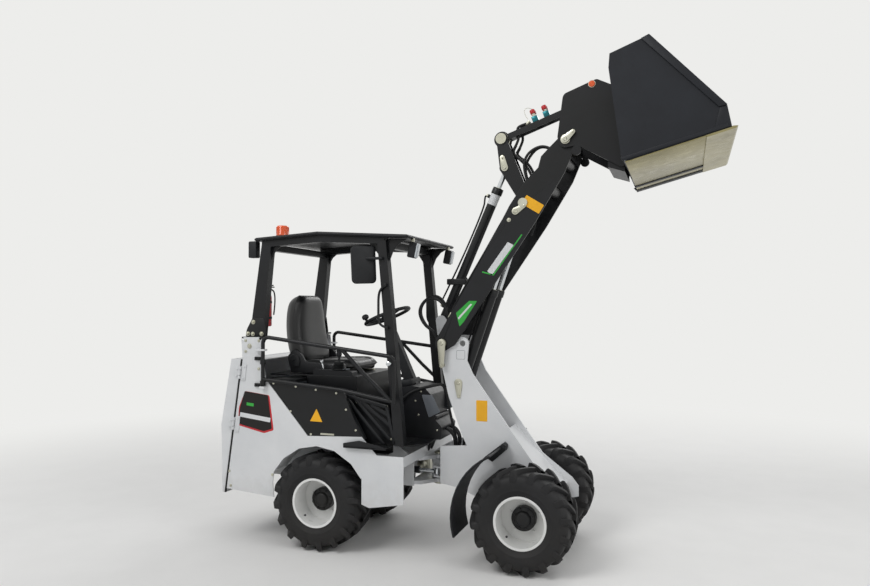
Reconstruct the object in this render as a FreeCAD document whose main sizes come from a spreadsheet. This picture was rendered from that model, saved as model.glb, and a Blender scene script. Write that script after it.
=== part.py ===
"""Compact articulated wheel loader, boom raised, on four tractor-tread tyres.

Lengths are in millimetres and angles in degrees. X points forward, Y to the left, Z up.
The origin lies on the ground under the middle of the machine. Every piece is drawn in
axes that stand on the ground under the articulation pivot, and is then moved by pivot_x.
"""
import math
import os

import FreeCAD
import Part
import Sketcher
from FreeCAD import Placement, Rotation, Vector

os.makedirs("parts", exist_ok=True)
doc = FreeCAD.newDocument("WheelLoader")

# Driving sizes: name, value, meaning
SIZES = [
    ("pivot_x", -235.2, "articulation pivot behind the middle of the machine"),
    ("wheel_base", 1362, "distance between the axles"),
    ("rim_face_y", 529, "outer plane of the rims from the middle"),
    ("tyre_radius", 316, "to the tips of the lugs"),
    ("tyre_width", 286, "across the side walls"),
    ("rim_radius", 168, "over the rim flanges"),
    ("bead_radius", 152, "tyre seat on the rim"),
    ("rim_width", 262, "between the outer planes of the flanges"),
    ("rim_wall", 6, "sheet of the rim"),
    ("disc_depth", 150, "wheel disc behind the rim's outer plane"),
    ("disc_wall", 9, "sheet of the wheel disc"),
    ("hub_radius", 62, "wheel hub"),
    ("hub_bore", 30, "hub bore over the spindle"),
    ("spindle_radius", 29, "axle spindle"),
    ("hub_length", 92, "wheel hub"),
    ("axle_tube_radius", 52, "axle tube"),
    ("axle_drop_radius", 112, "differential housing"),
    ("boom_pivot_x", 87, "boom foot pin ahead of the articulation pivot"),
    ("boom_pivot_z", 1354, "boom foot pin above the ground"),
    ("boom_angle", 57.6, "boom as parked, above level"),
    ("boom_length", 1533, "foot pin to bucket pin"),
    ("boom_gauge", 14, "boom side plates"),
    ("boom_y", 176, "inner face of the boom side plates"),
    ("lift_pin_along", 990, "lift cylinder pin along the boom"),
    ("lift_pin_above", 40, "lift cylinder pin above the line of the boom"),
    ("lift_base_x", 193, "lift cylinder base pin"),
    ("lift_base_z", 1094, "lift cylinder base pin"),
    ("lift_y", 80, "lift cylinders from the middle"),
    ("lift_barrel_radius", 35, "lift cylinder barrel"),
    ("lift_rod_radius", 15, "lift cylinder rod"),
    ("lift_barrel_length", 655, "base pin to the cylinder head"),
    ("tower_y", 155, "inner face of the tower side plates"),
    ("tower_gauge", 16, "tower side plates"),
    ("ear_hole_x", 221, "hole in the ear of the tower"),
    ("ear_hole_z", 1355, "hole in the ear of the tower"),
    ("ear_hole_radius", 20, "hole in the ear of the tower"),
    ("ear_radius", 42, "ear of the tower"),
    ("tilt_base_x", 29, "tilt cylinder base pin"),
    ("tilt_base_z", 1500, "tilt cylinder base pin"),
    ("tilt_pin_x", 481, "tilt rod pin on the lever"),
    ("tilt_pin_z", 2523, "tilt rod pin on the lever"),
    ("tilt_barrel_radius", 32, "tilt cylinder barrel"),
    ("tilt_rod_radius", 16, "tilt cylinder rod"),
    ("tilt_barrel_length", 980, "base pin to the cylinder head"),
    ("lever_pivot_x", 632, "lever pivot on the boom"),
    ("lever_pivot_z", 2265, "lever pivot on the boom"),
    ("lever_top_x", 457, "link pin on the lever"),
    ("lever_top_z", 2719, "link pin on the lever"),
    ("lever_y", 46, "inner face of the lever plates"),
    ("lever_gauge", 12, "lever plates"),
    ("link_end_x", 950, "link pin on the coupler"),
    ("link_end_z", 2895, "link pin on the coupler"),
    ("link_width", 76, "link bar across"),
    ("link_gauge", 8, "side bars of the link"),
    ("link_height", 40, "link bar"),
    ("pin_radius", 18, "linkage pins"),
    ("bucket_hub_radius", 34, "spacer tube on the bucket pin"),
    ("lever_hub_radius", 37.5, "spacer tube on the lever's pivot"),
    ("link_pin_radius", 24, "pin between lever and link"),
    ("link_hub_radius", 45, "spacer tube on the link pin"),
    ("boss_radius", 36, "bosses round the linkage pins"),
    ("pin_fit", 0.5, "radial play of a pin"),
    ("side_play", 5, "sideways room between moving plates"),
    ("eye_play", 2, "sideways room of a rod eye"),
    ("bucket_width", 1100, "over the bucket's side plates"),
    ("bucket_roll", 15, "bucket rolled back from level as parked"),
    ("coupler_gauge", 12, "coupler plates"),
    ("body_half_width", 500, "rear body from the middle"),
    ("body_wall", 5, "sheet of the rear body"),
    ("body_bottom", 322, "rear body above the ground"),
    ("hood_height", 1240, "rear body's top"),
    ("hood_rear_x", -1340, "top rear corner of the body"),
    ("hood_bulge_x", -1419, "rearmost line of the body"),
    ("arch_radius", 366, "wheel arch"),
    ("door_gap", 6, "seam round the rear door"),
    ("floor_height", 700, "operator's floor"),
    ("floor_gauge", 8, "floor plate"),
    ("post_size", 60, "square tube of the canopy posts"),
    ("post_y", 390, "inner face of the posts"),
    ("roof_half_width", 472, "roof from the middle"),
    ("roof_front_x", -54, "front edge of the roof"),
    ("roof_peak_x", -698, "fold of the roof"),
    ("roof_rear_x", -1172, "rear edge of the roof"),
    ("roof_front_z", 2058, "front edge of the roof"),
    ("roof_peak_z", 2098, "fold of the roof"),
    ("roof_rear_z", 2070, "rear edge of the roof"),
    ("roof_gauge", 24, "roof panel"),
    ("gate_tube_radius", 13, "gate tube"),
    ("seat_width", 470, "seat cushion"),
    ("fender_radius", 418, "front fender's inner face"),
    ("fender_gauge", 6, "front fender"),
    ("pivot_radius", 25.5, "articulation pin"),
    ("steer_base_x", -330, "steering cylinder base pin"),
    ("steer_base_y", -120, "steering cylinder base pin"),
    ("steer_tip_x", 24, "steering rod pin"),
    ("steer_tip_y", -112, "steering rod pin"),
    ("steer_height", 490, "steering cylinder above the ground"),
    ("steer_pin_radius", 12, "steering cylinder pins"),
    ("gate_y", 519, "gates from the middle"),
    ("gate_hinge_x", -1078, "gate hinges"),
    ("gate_front_x", -126, "free end of the gates"),
    ("gate_top", 1396, "rear end of the gates' top rail"),
]

sheet = doc.addObject("Spreadsheet::Sheet", "Sizes")
for row, (alias, value, meaning) in enumerate(SIZES, start=1):
    sheet.set("A%d" % row, alias)
    sheet.set("B%d" % row, str(value))
    sheet.set("C%d" % row, meaning)
    sheet.setAlias("B%d" % row, alias)
doc.recompute()


class Size:
    """A number that remembers how it follows from the sheet."""

    def __init__(self, value, text):
        self.value = float(value)
        self.text = text

    def __float__(self):
        return self.value

    def __add__(self, other):
        other = size(other)
        return Size(self.value + other.value, "(%s + %s)" % (self.text, other.text))

    def __sub__(self, other):
        other = size(other)
        return Size(self.value - other.value, "(%s - %s)" % (self.text, other.text))

    def __mul__(self, other):
        other = size(other)
        return Size(self.value * other.value, "(%s * %s)" % (self.text, other.text))

    def __truediv__(self, other):
        other = size(other)
        return Size(self.value / other.value, "(%s / %s)" % (self.text, other.text))

    def __neg__(self):
        return Size(-self.value, "(0 - %s)" % self.text)

    def __radd__(self, other):
        return size(other) + self

    def __rsub__(self, other):
        return size(other) - self

    def __rmul__(self, other):
        return size(other) * self


def size(value):
    """The same number as a Size."""
    if isinstance(value, Size):
        return value
    return Size(value, "(%.6f)" % value)


def sine(angle):
    return Size(math.sin(math.radians(float(angle))), "sin(%s)" % size(angle).text)


def cosine(angle):
    return Size(math.cos(math.radians(float(angle))), "cos(%s)" % size(angle).text)


for alias, value, meaning in SIZES:
    globals()[alias] = Size(sheet.get(alias), "Sizes.%s" % alias)


def bind(thing, path, value):
    """Tie one property to the sheet."""
    thing.setExpression(path, size(value).text)


# Sketches and features

UP = "XZ_Plane"
TOP = "XY_Plane"
FRONT = "YZ_Plane"


class Piece:
    """A sub-part: one body whose features are added in turn."""

    def __init__(self, label, x=None, y=0, z=0, pitch=0):
        self.body = doc.addObject("PartDesign::Body", label)
        self.body.Label = label
        self.body.AllowCompound = True
        self.label = label
        self.count = 0
        x = pivot_x if x is None else pivot_x + x
        self.body.Placement = Placement(
            Vector(float(x), float(size(y)), float(size(z))), Rotation(Vector(0, -1, 0), float(pitch)))
        bind(self.body, "Placement.Base.x", x)
        bind(self.body, "Placement.Base.y", y)
        bind(self.body, "Placement.Base.z", z)

    def sketch(self, plane, offset=0, shift=(0, 0)):
        self.count += 1
        drawing = self.body.newObject("Sketcher::SketchObject", "%s_sketch_%d" % (self.label, self.count))
        for feature in self.body.Origin.OriginFeatures:
            if feature.Role == plane:
                drawing.AttachmentSupport = [(feature, "")]
        drawing.MapMode = "FlatFace"
        bind(drawing, "AttachmentOffset.Base.x", shift[0])
        bind(drawing, "AttachmentOffset.Base.y", shift[1])
        bind(drawing, "AttachmentOffset.Base.z", offset)
        return drawing

    def add(self, kind, drawing):
        self.count += 1
        feature = self.body.newObject("PartDesign::%s" % kind, "%s_%s_%d" % (self.label, kind.lower(),
            self.count))
        feature.Profile = drawing
        drawing.Visibility = False
        return feature

    def pad(self, plane, start, length, shape):
        """A plate from start towards the plane's own normal; on UP the normal points to -Y."""
        drawing = self.sketch(plane, start)
        shape(drawing)
        feature = self.add("Pad", drawing)
        bind(feature, "Length", length)
        return feature

    def plate(self, y_low, thickness, shape):
        """A plate drawn in side view, from y_low outwards by thickness."""
        return self.pad(UP, -(size(y_low) + thickness), thickness, shape)

    def slab(self, z_low, thickness, shape):
        """A plate drawn from above, from z_low upwards."""
        return self.pad(TOP, z_low, thickness, shape)

    def wall(self, x_low, thickness, shape):
        """A plate drawn from behind, from x_low forwards."""
        return self.pad(FRONT, x_low, thickness, shape)

    def cut(self, plane, start, length, shape):
        drawing = self.sketch(plane, start)
        shape(drawing)
        feature = self.add("Pocket", drawing)
        feature.Reversed = True
        bind(feature, "Length", length)
        return feature

    def discs(self, y_low, thickness, spots):
        """Round plates, each (x, z, radius), with the same faces as a plate."""
        for x, z, radius in spots:
            self.plate(y_low, thickness, circle(x, z, radius))

    def holes(self, y_low, thickness, spots):
        """Round holes, each (x, z, radius), through a plate."""
        drawing = self.sketch(UP, -size(y_low))
        for x, z, radius in spots:
            circle(x, z, radius)(drawing)
        feature = self.add("Pocket", drawing)
        feature.Reversed = False
        bind(feature, "Length", thickness)
        return feature

    def rod(self, x, y, z, lean, radius, length):
        """A round bar whose middle lies at a point and whose axis leans from X towards Z."""
        self.count += 1
        bar = self.body.newObject("PartDesign::AdditiveCylinder", "%s_bar_%d" % (self.label, self.count))
        bind(bar, "Radius", radius)
        bind(bar, "Height", length)
        turn = Rotation(Vector(0, 1, 0), 90 - lean)
        middle = Vector(float(size(x)), float(size(y)), float(size(z)))
        bar.Placement = Placement(middle - turn.multVec(Vector(0, 0, float(size(length)) / 2)), turn)
        return bar

    def turn(self, shape, plane=TOP, axis="H_Axis", offset=0, shift=(0, 0)):
        """A full turn of a half section round an axis of its sketch."""
        drawing = self.sketch(plane, offset, shift)
        shape(drawing)
        feature = self.add("Revolution", drawing)
        feature.ReferenceAxis = (drawing, [axis])
        feature.Angle = 360
        return feature


def pin_point(drawing, geometry, vertex, x, y, rules):
    """Hold one point at x, y from the sketch's origin."""
    for kind, value in (("DistanceX", size(x)), ("DistanceY", size(y))):
        rules.append((Sketcher.Constraint(kind, -1, 1, geometry, vertex, value.value), value))


def settle(drawing, rules):
    """Add constraints and tie their values to the sheet."""
    first = drawing.ConstraintCount
    drawing.addConstraint([rule for rule, value in rules])
    for place, (rule, value) in enumerate(rules):
        if value is not None:
            drawing.setExpression("Constraints[%d]" % (first + place), value.text)


def outline(corners):
    """A closed outline; a corner is (x, y) or (x, y, radius)."""

    def draw(drawing):
        total = len(corners)
        place = [Vector(float(size(c[0])), float(size(c[1])), 0) for c in corners]
        radius = [size(c[2]) if len(c) > 2 else None for c in corners]
        entry = []
        leave = []
        for n in range(total):
            here, before, after = place[n], place[n - 1], place[(n + 1) % total]
            if radius[n] is None:
                entry.append(here)
                leave.append(here)
                continue
            back = (before - here).normalize()
            ahead = (after - here).normalize()
            half = back.getAngle(ahead) / 2
            reach = radius[n].value / math.tan(half)
            entry.append(here + back * reach)
            leave.append(here + ahead * reach)
        lines = []
        for n in range(total):
            lines.append(drawing.addGeometry(Part.LineSegment(leave[n], entry[(n + 1) % total])))
        rules = []
        for n in range(total):
            come, go = lines[n - 1], lines[n]
            x, y = corners[n][0], corners[n][1]
            if radius[n] is None:
                rules.append((Sketcher.Constraint("Coincident", come, 2, go, 1), None))
                pin_point(drawing, go, 1, x, y, rules)
                continue
            here = place[n]
            middle = (entry[n] + leave[n]) * 0.5
            centre_way = (middle - here).normalize()
            half = (entry[n] - here).getAngle(leave[n] - here) / 2
            centre = here + centre_way * (radius[n].value / math.sin(half))
            crown = centre - centre_way * radius[n].value
            arc = drawing.addGeometry(Part.Arc(entry[n], crown, leave[n]))
            spot = drawing.addGeometry(Part.Point(here), True)
            start = drawing.Geometry[arc].StartPoint
            near = 1 if start.distanceToPoint(entry[n]) < start.distanceToPoint(leave[n]) else 2
            rules.append((Sketcher.Constraint("Tangent", come, 2, arc, near), None))
            rules.append((Sketcher.Constraint("Tangent", go, 1, arc, 3 - near), None))
            rules.append((Sketcher.Constraint("Radius", arc, radius[n].value), radius[n]))
            rules.append((Sketcher.Constraint("PointOnObject", spot, 1, come), None))
            rules.append((Sketcher.Constraint("PointOnObject", spot, 1, go), None))
            pin_point(drawing, spot, 1, x, y, rules)
        settle(drawing, rules)

    return draw


def circle(x, y, radius):
    def draw(drawing):
        round_edge = drawing.addGeometry(Part.Circle(Vector(float(size(x)), float(size(y)), 0),
                                                     Vector(0, 0, 1), float(radius)))
        rules = []
        pin_point(drawing, round_edge, 3, x, y, rules)
        rules.append((Sketcher.Constraint("Radius", round_edge, float(radius)), size(radius)))
        settle(drawing, rules)

    return draw


def both(*shapes):
    """Several outlines in one sketch; an inner one makes a hole."""

    def draw(drawing):
        for shape in shapes:
            shape(drawing)

    return draw


def box(x_low, x_high, y_low, y_high):
    return outline([(x_low, y_low), (x_high, y_low), (x_high, y_high), (x_low, y_high)])


# Places worked out from the sizes

axle_x = wheel_base / 2
wheel_y = rim_face_y - rim_width / 2
boom_cos = cosine(boom_angle)
boom_sin = sine(boom_angle)


def on_boom(along, above):
    """A point of the parked boom: along the line of its pins and above that line."""
    x = boom_pivot_x + boom_cos * along - boom_sin * above
    z = boom_pivot_z + boom_sin * along + boom_cos * above
    return x, z


bucket_pin_x, bucket_pin_z = on_boom(boom_length, 0)
lift_pin_x, lift_pin_z = on_boom(lift_pin_along, lift_pin_above)
roll_cos = cosine(bucket_roll)
roll_sin = sine(bucket_roll)


def on_bucket(ahead, above):
    """A point of the parked bucket, given from its pin with the bucket's floor level."""
    ahead = size(ahead)
    above = size(above)
    x = bucket_pin_x + roll_cos * ahead - roll_sin * above
    z = bucket_pin_z + roll_sin * ahead + roll_cos * above
    return x, z


def direction(x1, z1, x2, z2):
    return math.degrees(math.atan2(float(z2) - float(z1), float(x2) - float(x1)))


# Wheels and axles

def wheel(end, side, x, sign):
    """Tyre and rim round local Y; sign is +1 on the left, and the dish opens outwards."""
    half = tyre_width / 2
    bead = rim_width / 2 - 8
    tyre = Piece("tyre_%s_%s" % (end, side), x, wheel_y * sign, tyre_radius)
    tyre.turn(outline([
        (bead_radius + 0.1, -bead + 0.1), (rim_radius + 1, -bead + 0.1), (tyre_radius - 130, -half, 30),
        (tyre_radius - 60, -half, 40), (tyre_radius - 6, -half + 22, 12), (tyre_radius, -half / 2),
        (tyre_radius, half / 2),
        (tyre_radius - 6, half - 22, 12), (tyre_radius - 60, half, 40), (tyre_radius - 130, half, 30),
        (rim_radius + 1, bead - 0.1), (bead_radius + 0.1, bead - 0.1)]), axis="V_Axis")

    rim = Piece("rim_%s_%s" % (end, side), x, wheel_y * sign, tyre_radius)
    edge = rim_width / 2
    inner = bead_radius - rim_wall
    rim.turn(outline([
        (inner, -edge + 1), (rim_radius, -edge), (rim_radius, -bead), (bead_radius, -bead),
        (bead_radius, bead), (rim_radius, bead), (rim_radius, edge), (inner, edge - 1)]), axis="V_Axis")
    face = (edge - disc_depth) * sign
    back = (edge - disc_depth - disc_wall) * sign
    low, high = (back, face) if sign > 0 else (face, back)
    rim.turn(outline([(hub_radius - 14, low), (inner + 1, low), (inner + 1, high),
                      (hub_radius - 14, high)]), axis="V_Axis")
    hub_out = face + sign * 26
    hub_in = back - sign * (hub_length - 26)
    low, high = (hub_in, hub_out) if sign > 0 else (hub_out, hub_in)
    rim.turn(outline([(hub_bore, low), (hub_radius, low), (hub_radius, high), (hub_bore, high)]),
             axis="V_Axis")
    return tyre, rim


for end, x in (("front", axle_x), ("rear", -axle_x)):
    for side, sign in (("left", 1), ("right", -1)):
        wheel(end, side, x, sign)


def axle(label, x, pad_y):
    """A beam axle: tube, spindles, differential housing and the pads that carry the frame."""
    beam = Piece(label, x, 0, tyre_radius)
    disc_y = rim_face_y - disc_depth
    stub = disc_y + 20
    hub_end = disc_y - disc_wall - hub_length + 26
    shoulder = hub_end - 4
    beam.turn(outline([
        (-stub, 0), (-stub, spindle_radius), (-shoulder, spindle_radius), (-shoulder, axle_tube_radius),
        (-150, axle_tube_radius), (-85, axle_drop_radius, 30), (85, axle_drop_radius, 30),
        (150, axle_tube_radius), (shoulder, axle_tube_radius), (shoulder, spindle_radius),
        (stub, spindle_radius), (stub, 0)]), plane=FRONT)
    for sign in (1, -1):
        low = pad_y if sign > 0 else -pad_y - 60
        beam.plate(low, 60, outline([(-60, 20), (60, 20), (60, 78), (-60, 78)]))
    return beam


axle("front_axle", axle_x, tower_y + tower_gauge)
axle("rear_axle", -axle_x, size(170))


# Rear frame

rail_y = size(170)
rail_gauge = size(14)
chassis = Piece("rear_chassis")
for y in (rail_y, -rail_y - rail_gauge):
    chassis.plate(y, rail_gauge, outline([
        (-1330, 394), (-120, 394), (-120, 584), (-300, floor_height), (-470, floor_height), (-470, 640),
        (-1330, 640)]))
for x in (-1330, -960, -420):
    chassis.wall(x, 14, box(-rail_y - 2, rail_y + 2, 430, 556))
for z in (400, 560):
    chassis.slab(z, 24, outline([(-150, -175), (-80, -150), (0, -52), (0, 52), (-80, 150), (-150, 175)]))
    chassis.slab(z, 24, circle(0, 0, 52))
chassis.slab(400, 184, circle(0, 0, pivot_radius))
for z in (steer_height - 36, steer_height + 26):
    chassis.slab(z, 10, outline([(steer_base_x - 40, -172), (steer_base_x + 40, -172),
        (steer_base_x + 24, steer_base_y + 20),
                                 (steer_base_x - 24, steer_base_y + 20)]))
chassis.slab(steer_height - 30, 60, circle(steer_base_x, steer_base_y, steer_pin_radius))

hood = Piece("rear_body")
side_outline = [
    (hood_rear_x + 88, hood_height), (-1262, hood_height + 149, 10), (-1103, hood_height + 151, 10),
    (-1069, hood_height - 130), (-748, 745),
    (-356, 761), (-250, 650), (-67, 650), (-67, 352), (-302, 312), (-356, 330), (-356, 500),
    (-axle_x + 320, tyre_radius + 177), (-axle_x + 250, tyre_radius + 267),
    (-axle_x + 130, tyre_radius + 342),
    (-axle_x, tyre_radius + arch_radius), (-axle_x - 130, tyre_radius + 342),
    (-axle_x - 250, tyre_radius + 267),
    (-axle_x - 320, tyre_radius + 177), (-1010, 420), (-1000, body_bottom),
    (-1383 + door_gap, body_bottom + 29),
]
for sign in (1, -1):
    low = body_half_width - body_wall if sign > 0 else -body_half_width
    hood.plate(low, body_wall, outline(side_outline))
hood.slab(hood_height - body_wall, body_wall, box(hood_rear_x + 88, -1110, -body_half_width + 2,
    body_half_width - 2))
hood.wall(-72, body_wall, box(-body_half_width + 2, body_half_width - 2, 584, 648))

liner = [(math.cos(math.radians(a)), math.sin(math.radians(a))) for a in range(30, 151, 10)]
liner_low = [(-axle_x + arch_radius * c, tyre_radius + arch_radius * s) for c, s in liner]
liner_high = [(-axle_x + (arch_radius + 5) * c, tyre_radius + (arch_radius + 5) * s) for c, s in liner]
for sign in (1, -1):
    low = size(335) if sign > 0 else -body_half_width + 1
    hood.plate(low, body_half_width - 336, outline(liner_low + liner_high[::-1]))

door = Piece("rear_door")
door_y = body_half_width - door_gap
outer = [(hood_rear_x, hood_height), (hood_bulge_x, 788, 60), (-1407, body_bottom)]
door.plate(-door_y, door_y * 2, outline(outer + [
    (-1407 + 26, body_bottom), (hood_bulge_x + 26, 788, 60), (hood_rear_x + 26, hood_height)]))
for sign in (1, -1):
    low = body_half_width - body_wall if sign > 0 else -body_half_width
    door.plate(low, body_wall, outline([
        (hood_rear_x, hood_height), (hood_bulge_x, 788, 60), (-1407, body_bottom), (-1389, body_bottom),
        (-1258, hood_height)]))
    low = door_y - 4 if sign > 0 else -body_half_width + 4
    door.plate(low, 6, outline([
        (hood_rear_x + 4, hood_height - 4), (hood_bulge_x + 6, 788, 60), (-1400, body_bottom + 4),
        (-1392, body_bottom + 4), (-1300, hood_height - 4)]))
seam_top = (hood_rear_x + 85, hood_height)
seam_low = (-1386, body_bottom)
seam_lean = direction(seam_low[0], seam_low[1], seam_top[0], seam_top[1])
knuckle_radius = size(9)
hinge_y = -body_half_width - knuckle_radius


def seam_point(share):
    return (seam_low[0] + (seam_top[0] - seam_low[0]) * share,
            seam_low[1] + (seam_top[1] - seam_low[1]) * share)


for share in (0.52, 0.9):
    for piece, shift, length, way in ((door, 0, 34, -1), (hood, 0.034, 22, 1), (hood, -0.034, 22, 1)):
        x, z = seam_point(share + shift)
        piece.rod(x, hinge_y, z, seam_lean, knuckle_radius, length)
        half = length / 2
        piece.plate(-body_half_width - 4, 4, outline([
            (x, z - half), (x + way * 30, z - half), (x + way * 30, z + half), (x, z + half)]))
for sign in (1, -1):
    low, high = (body_half_width, gate_y + 16) if sign > 0 else (-gate_y - 16, -body_half_width)
    hood.slab(1048, 13.7, box(gate_hinge_x - 18, gate_hinge_x + 18, low, high))
    hood.slab(1300, 12, both(box(gate_hinge_x - 60, gate_hinge_x + 22, low, high),
                             circle(gate_hinge_x, gate_y * sign, gate_tube_radius + 0.3)))

battery = Piece("battery_block")
battery.slab(640, hood_height - 800, box(-1230, -860, -300, 300))

deck = Piece("seat_pedestal")
deck.slab(640, 484, both(box(-850, -470, -330, 330), box(-846, -474, -326, 326)))
deck.slab(1122, 8, box(-1140, -470, -330, 330))

side = Piece("side_panels")
for sign in (1, -1):
    low = size(475) if sign > 0 else size(-495)
    side.plate(low, 20, outline([(-1064, 1110), (-492, 1051, 30), (-356, 750), (-740, 732)]))
    side.slab(1090, 20, box(-1062, -850, 329 if sign > 0 else -476, 476 if sign > 0 else -329))
    low = size(396) if sign > 0 else size(-400)
    side.plate(low, 4, outline([(-470, 990), (-230, 960), (-180, 708), (-470, 708)]))

floor = Piece("floor_plate")
floor.slab(floor_height, floor_gauge, outline([
    (-470, -400), (-60, -400), (20, -300), (20, 300), (-60, 400), (-470, 400)]))
for sign in (1, -1):
    low, high = (394, 495) if sign > 0 else (-495, -394)
    floor.slab(655, 8, box(-350, -180, low, high))
    floor.slab(655, 52, box(-350, -180, 394 if sign > 0 else -400, 400 if sign > 0 else -394))

seat = Piece("seat_cushion")
seat.plate(-seat_width / 2, seat_width, outline([
    (-1000, 1130), (-560, 1130, 20), (-536, 1205, 30), (-640, 1225, 60), (-1000, 1176.5)]))
back_rest = Piece("seat_back")
back_rest.plate(-230, 460, outline([
    (-1005, 1175.9), (-868, 1194.3, 12), (-935, 1560, 60), (-1000, 1685, 24), (-1062, 1685, 24),
    (-1090, 1560, 80),
    (-1062, 1300, 60)]))
console = Piece("control_console")
console.plate(-330, 85, outline([(-800, 1130), (-500, 1130), (-510, 1160, 12), (-800, 1172, 12)]))
console.slab(1160, 60, circle(-622, -290, 34))
console.slab(1215, 60, circle(-622, -290, 9))
console.slab(1268, 42, circle(-622, -290, 18))

dash = Piece("dash")
dash.plate(-150, 300, outline([
    (-250, floor_height + floor_gauge), (60, floor_height + floor_gauge), (70, 790, 12), (12, 850, 12),
    (-4, 1000, 30), (-50, 1048, 20), (-150, 1060, 30), (-260, 1040, 30)]))
column = Piece("steering_column")
column.plate(-28, 56, outline([(-240, 1043.9), (-160, 1058.5), (-371.4, 1523.8), (-397.4, 1513.4)]))
ring = Piece("steering_wheel", -389, 0, 1530, 22)
ring.turn(outline([(150, -12, 11), (174, -12, 11), (174, 12, 11), (150, 12, 11)]), plane=UP, axis="V_Axis")
ring.slab(-12, 20, circle(0, 0, 40))
ring.slab(-4, 8, box(-152, 152, -14, 14))

frame = Piece("canopy_frame")
for sign in (1, -1):
    low = post_y if sign > 0 else -post_y - post_size
    frame.plate(low, post_size, outline([
        (-150, floor_height + floor_gauge), (-85, floor_height + floor_gauge), (-212, 2030), (-272, 2030)]))
    frame.plate(low, post_size, outline([
        (-222, 2004), (-222, 2044), (roof_peak_x, roof_peak_z - roof_gauge), (-1135, 2048), (-1135, 2004),
        (roof_peak_x, 2030)]))
    frame.plate(low, post_size, outline([(-1250, 1240), (-1190, 1240), (-1125, 1392), (-1062, 2030),
        (-1135, 2030)]))
for x in (-1130, -270):
    frame.wall(x, 50, box(-post_y - 2, post_y + 2, 1985, 2030))

roof = Piece("canopy_roof")
roof.plate(-roof_half_width, roof_half_width * 2, outline([
    (roof_front_x, roof_front_z - roof_gauge), (roof_front_x, roof_front_z), (roof_peak_x, roof_peak_z),
    (roof_rear_x, roof_rear_z), (roof_rear_x, roof_rear_z - roof_gauge),
    (roof_peak_x, roof_peak_z - roof_gauge)]))

beacon = Piece("beacon", -1050, -320, 2080.3)
beacon.turn(outline([(0, 0), (48, 0), (48, 14), (40, 16), (36, 80, 14), (0, 84)]), plane=UP, axis="V_Axis")

lamps = Piece("work_lamps")
for sign in (1, -1):
    low = size(330) if sign > 0 else size(-400)
    lamps.plate(low, 70, outline([(-90, 1925), (-30, 1905), (-10, 2000), (-56, 2034), (-90, 2036.1)]))

mirror_x = size(-358)
mirror_y = size(-474)
mirror = Piece("mirrors")
mirror.slab(1742, 254, outline([
    (mirror_x + a, mirror_y + b) for a, b in ((-74, -54), (-54, -74), (74, 54), (54, 74))]))
mirror.slab(1900, 20, box(-350, -225, -478, -450))

bottle = Piece("fire_extinguisher", -1160, -351.7, 1460)
bottle.turn(outline([(0, 0), (38, 0, 10), (38, 220, 30), (13, 240), (13, 290),
    (0, 290)]), plane=UP, axis="V_Axis")

# Gates


def tube(points, radius, bend):
    """A round tube along straight runs with rounded corners, as one solid."""
    places = [Vector(float(size(a)), float(size(b)), float(size(c))) for a, b, c in points]
    edges = []
    start = places[0]
    for before, here, after in zip(places, places[1:], places[2:]):
        back = (before - here).normalize()
        ahead = (after - here).normalize()
        half = back.getAngle(ahead) / 2
        reach = bend / math.tan(half)
        come = here + back * reach
        go = here + ahead * reach
        way = (back + ahead).normalize()
        crown = here + way * (bend / math.sin(half) - bend)
        edges.append(Part.LineSegment(start, come).toShape())
        edges.append(Part.Arc(come, crown, go).toShape())
        start = go
    edges.append(Part.LineSegment(start, places[-1]).toShape())
    path = Part.Wire(edges)
    section = Part.Wire([Part.Circle(places[0], places[1] - places[0], radius).toShape()])
    return path.makePipeShell([section], True, False)


def feature(label, shape, move=Vector(0, 0, 0)):
    thing = doc.addObject("Part::Feature", label)
    thing.Label = label
    thing.Shape = shape
    thing.Placement = Placement(move + Vector(float(pivot_x), 0, 0), Rotation())
    return thing


for side_name, sign in (("right", -1), ("left", 1)):
    y = sign * float(gate_y)
    radius = float(gate_tube_radius)
    rail = [(gate_hinge_x, y, 1062), (gate_hinge_x, y, gate_top), (gate_front_x, y, gate_top - 116),
            (gate_front_x, y, 985)]
    brace = [(gate_hinge_x, y, 1108), (-500, y, 1060), (gate_front_x, y, 996)]
    bar = [(-490, y, 1322), (-320, y, 1156), (-150, y, 1006)]
    main = tube(rail, radius, 40)
    low = tube(brace, radius, 40).fuse(tube(bar, radius, 40))
    feature("gate_%s" % side_name, main.fuse(low).removeSplitter())

# Front frame

tower_outline = [
    (45, 1354), (87, 1398), (221, 1397), (263, 1355), (251, 1241), (289, 1157), (548, 796), (690, 604),
    (888, 454), (930, 400), (930, 330), (600, 250), (173, 409), (66, 425), (66, 671), (251, 684),
    (216, 754),
    (124, 1005), (80, 1190)]
tower = Piece("front_chassis")
for sign in (1, -1):
    low = tower_y if sign > 0 else -tower_y - tower_gauge
    tower.plate(low, tower_gauge, outline(tower_outline))
    tower.discs(low, tower_gauge, [(boom_pivot_x, boom_pivot_z, ear_radius + 2),
        (ear_hole_x, ear_hole_z, ear_radius)])
    tower.holes(low, tower_gauge, [
        (ear_hole_x, ear_hole_z, ear_hole_radius), (boom_pivot_x, boom_pivot_z, pin_radius + pin_fit),
        (axle_x, tyre_radius, axle_tube_radius)])
tower.plate(-tower_y - 1, tower_y * 2 + 2, outline([(500, 790), (860, 420), (852, 412), (492, 782)]))
tower.wall(66, 14, box(-tower_y - 1, tower_y + 1, 425, 665))
tower.plate(-tower_y - 1, tower_y * 2 + 2, outline([(80, 426), (175, 412), (545, 275), (545, 287),
    (178, 424), (80, 438)]))
tower.pad(UP, -tower_y - 1, tower_y * 2 + 2, circle(lift_base_x, lift_base_z, pin_radius))
tower.pad(UP, -tower_y - 1, tower_y * 2 + 2, circle(100, 1285, 26))
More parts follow.
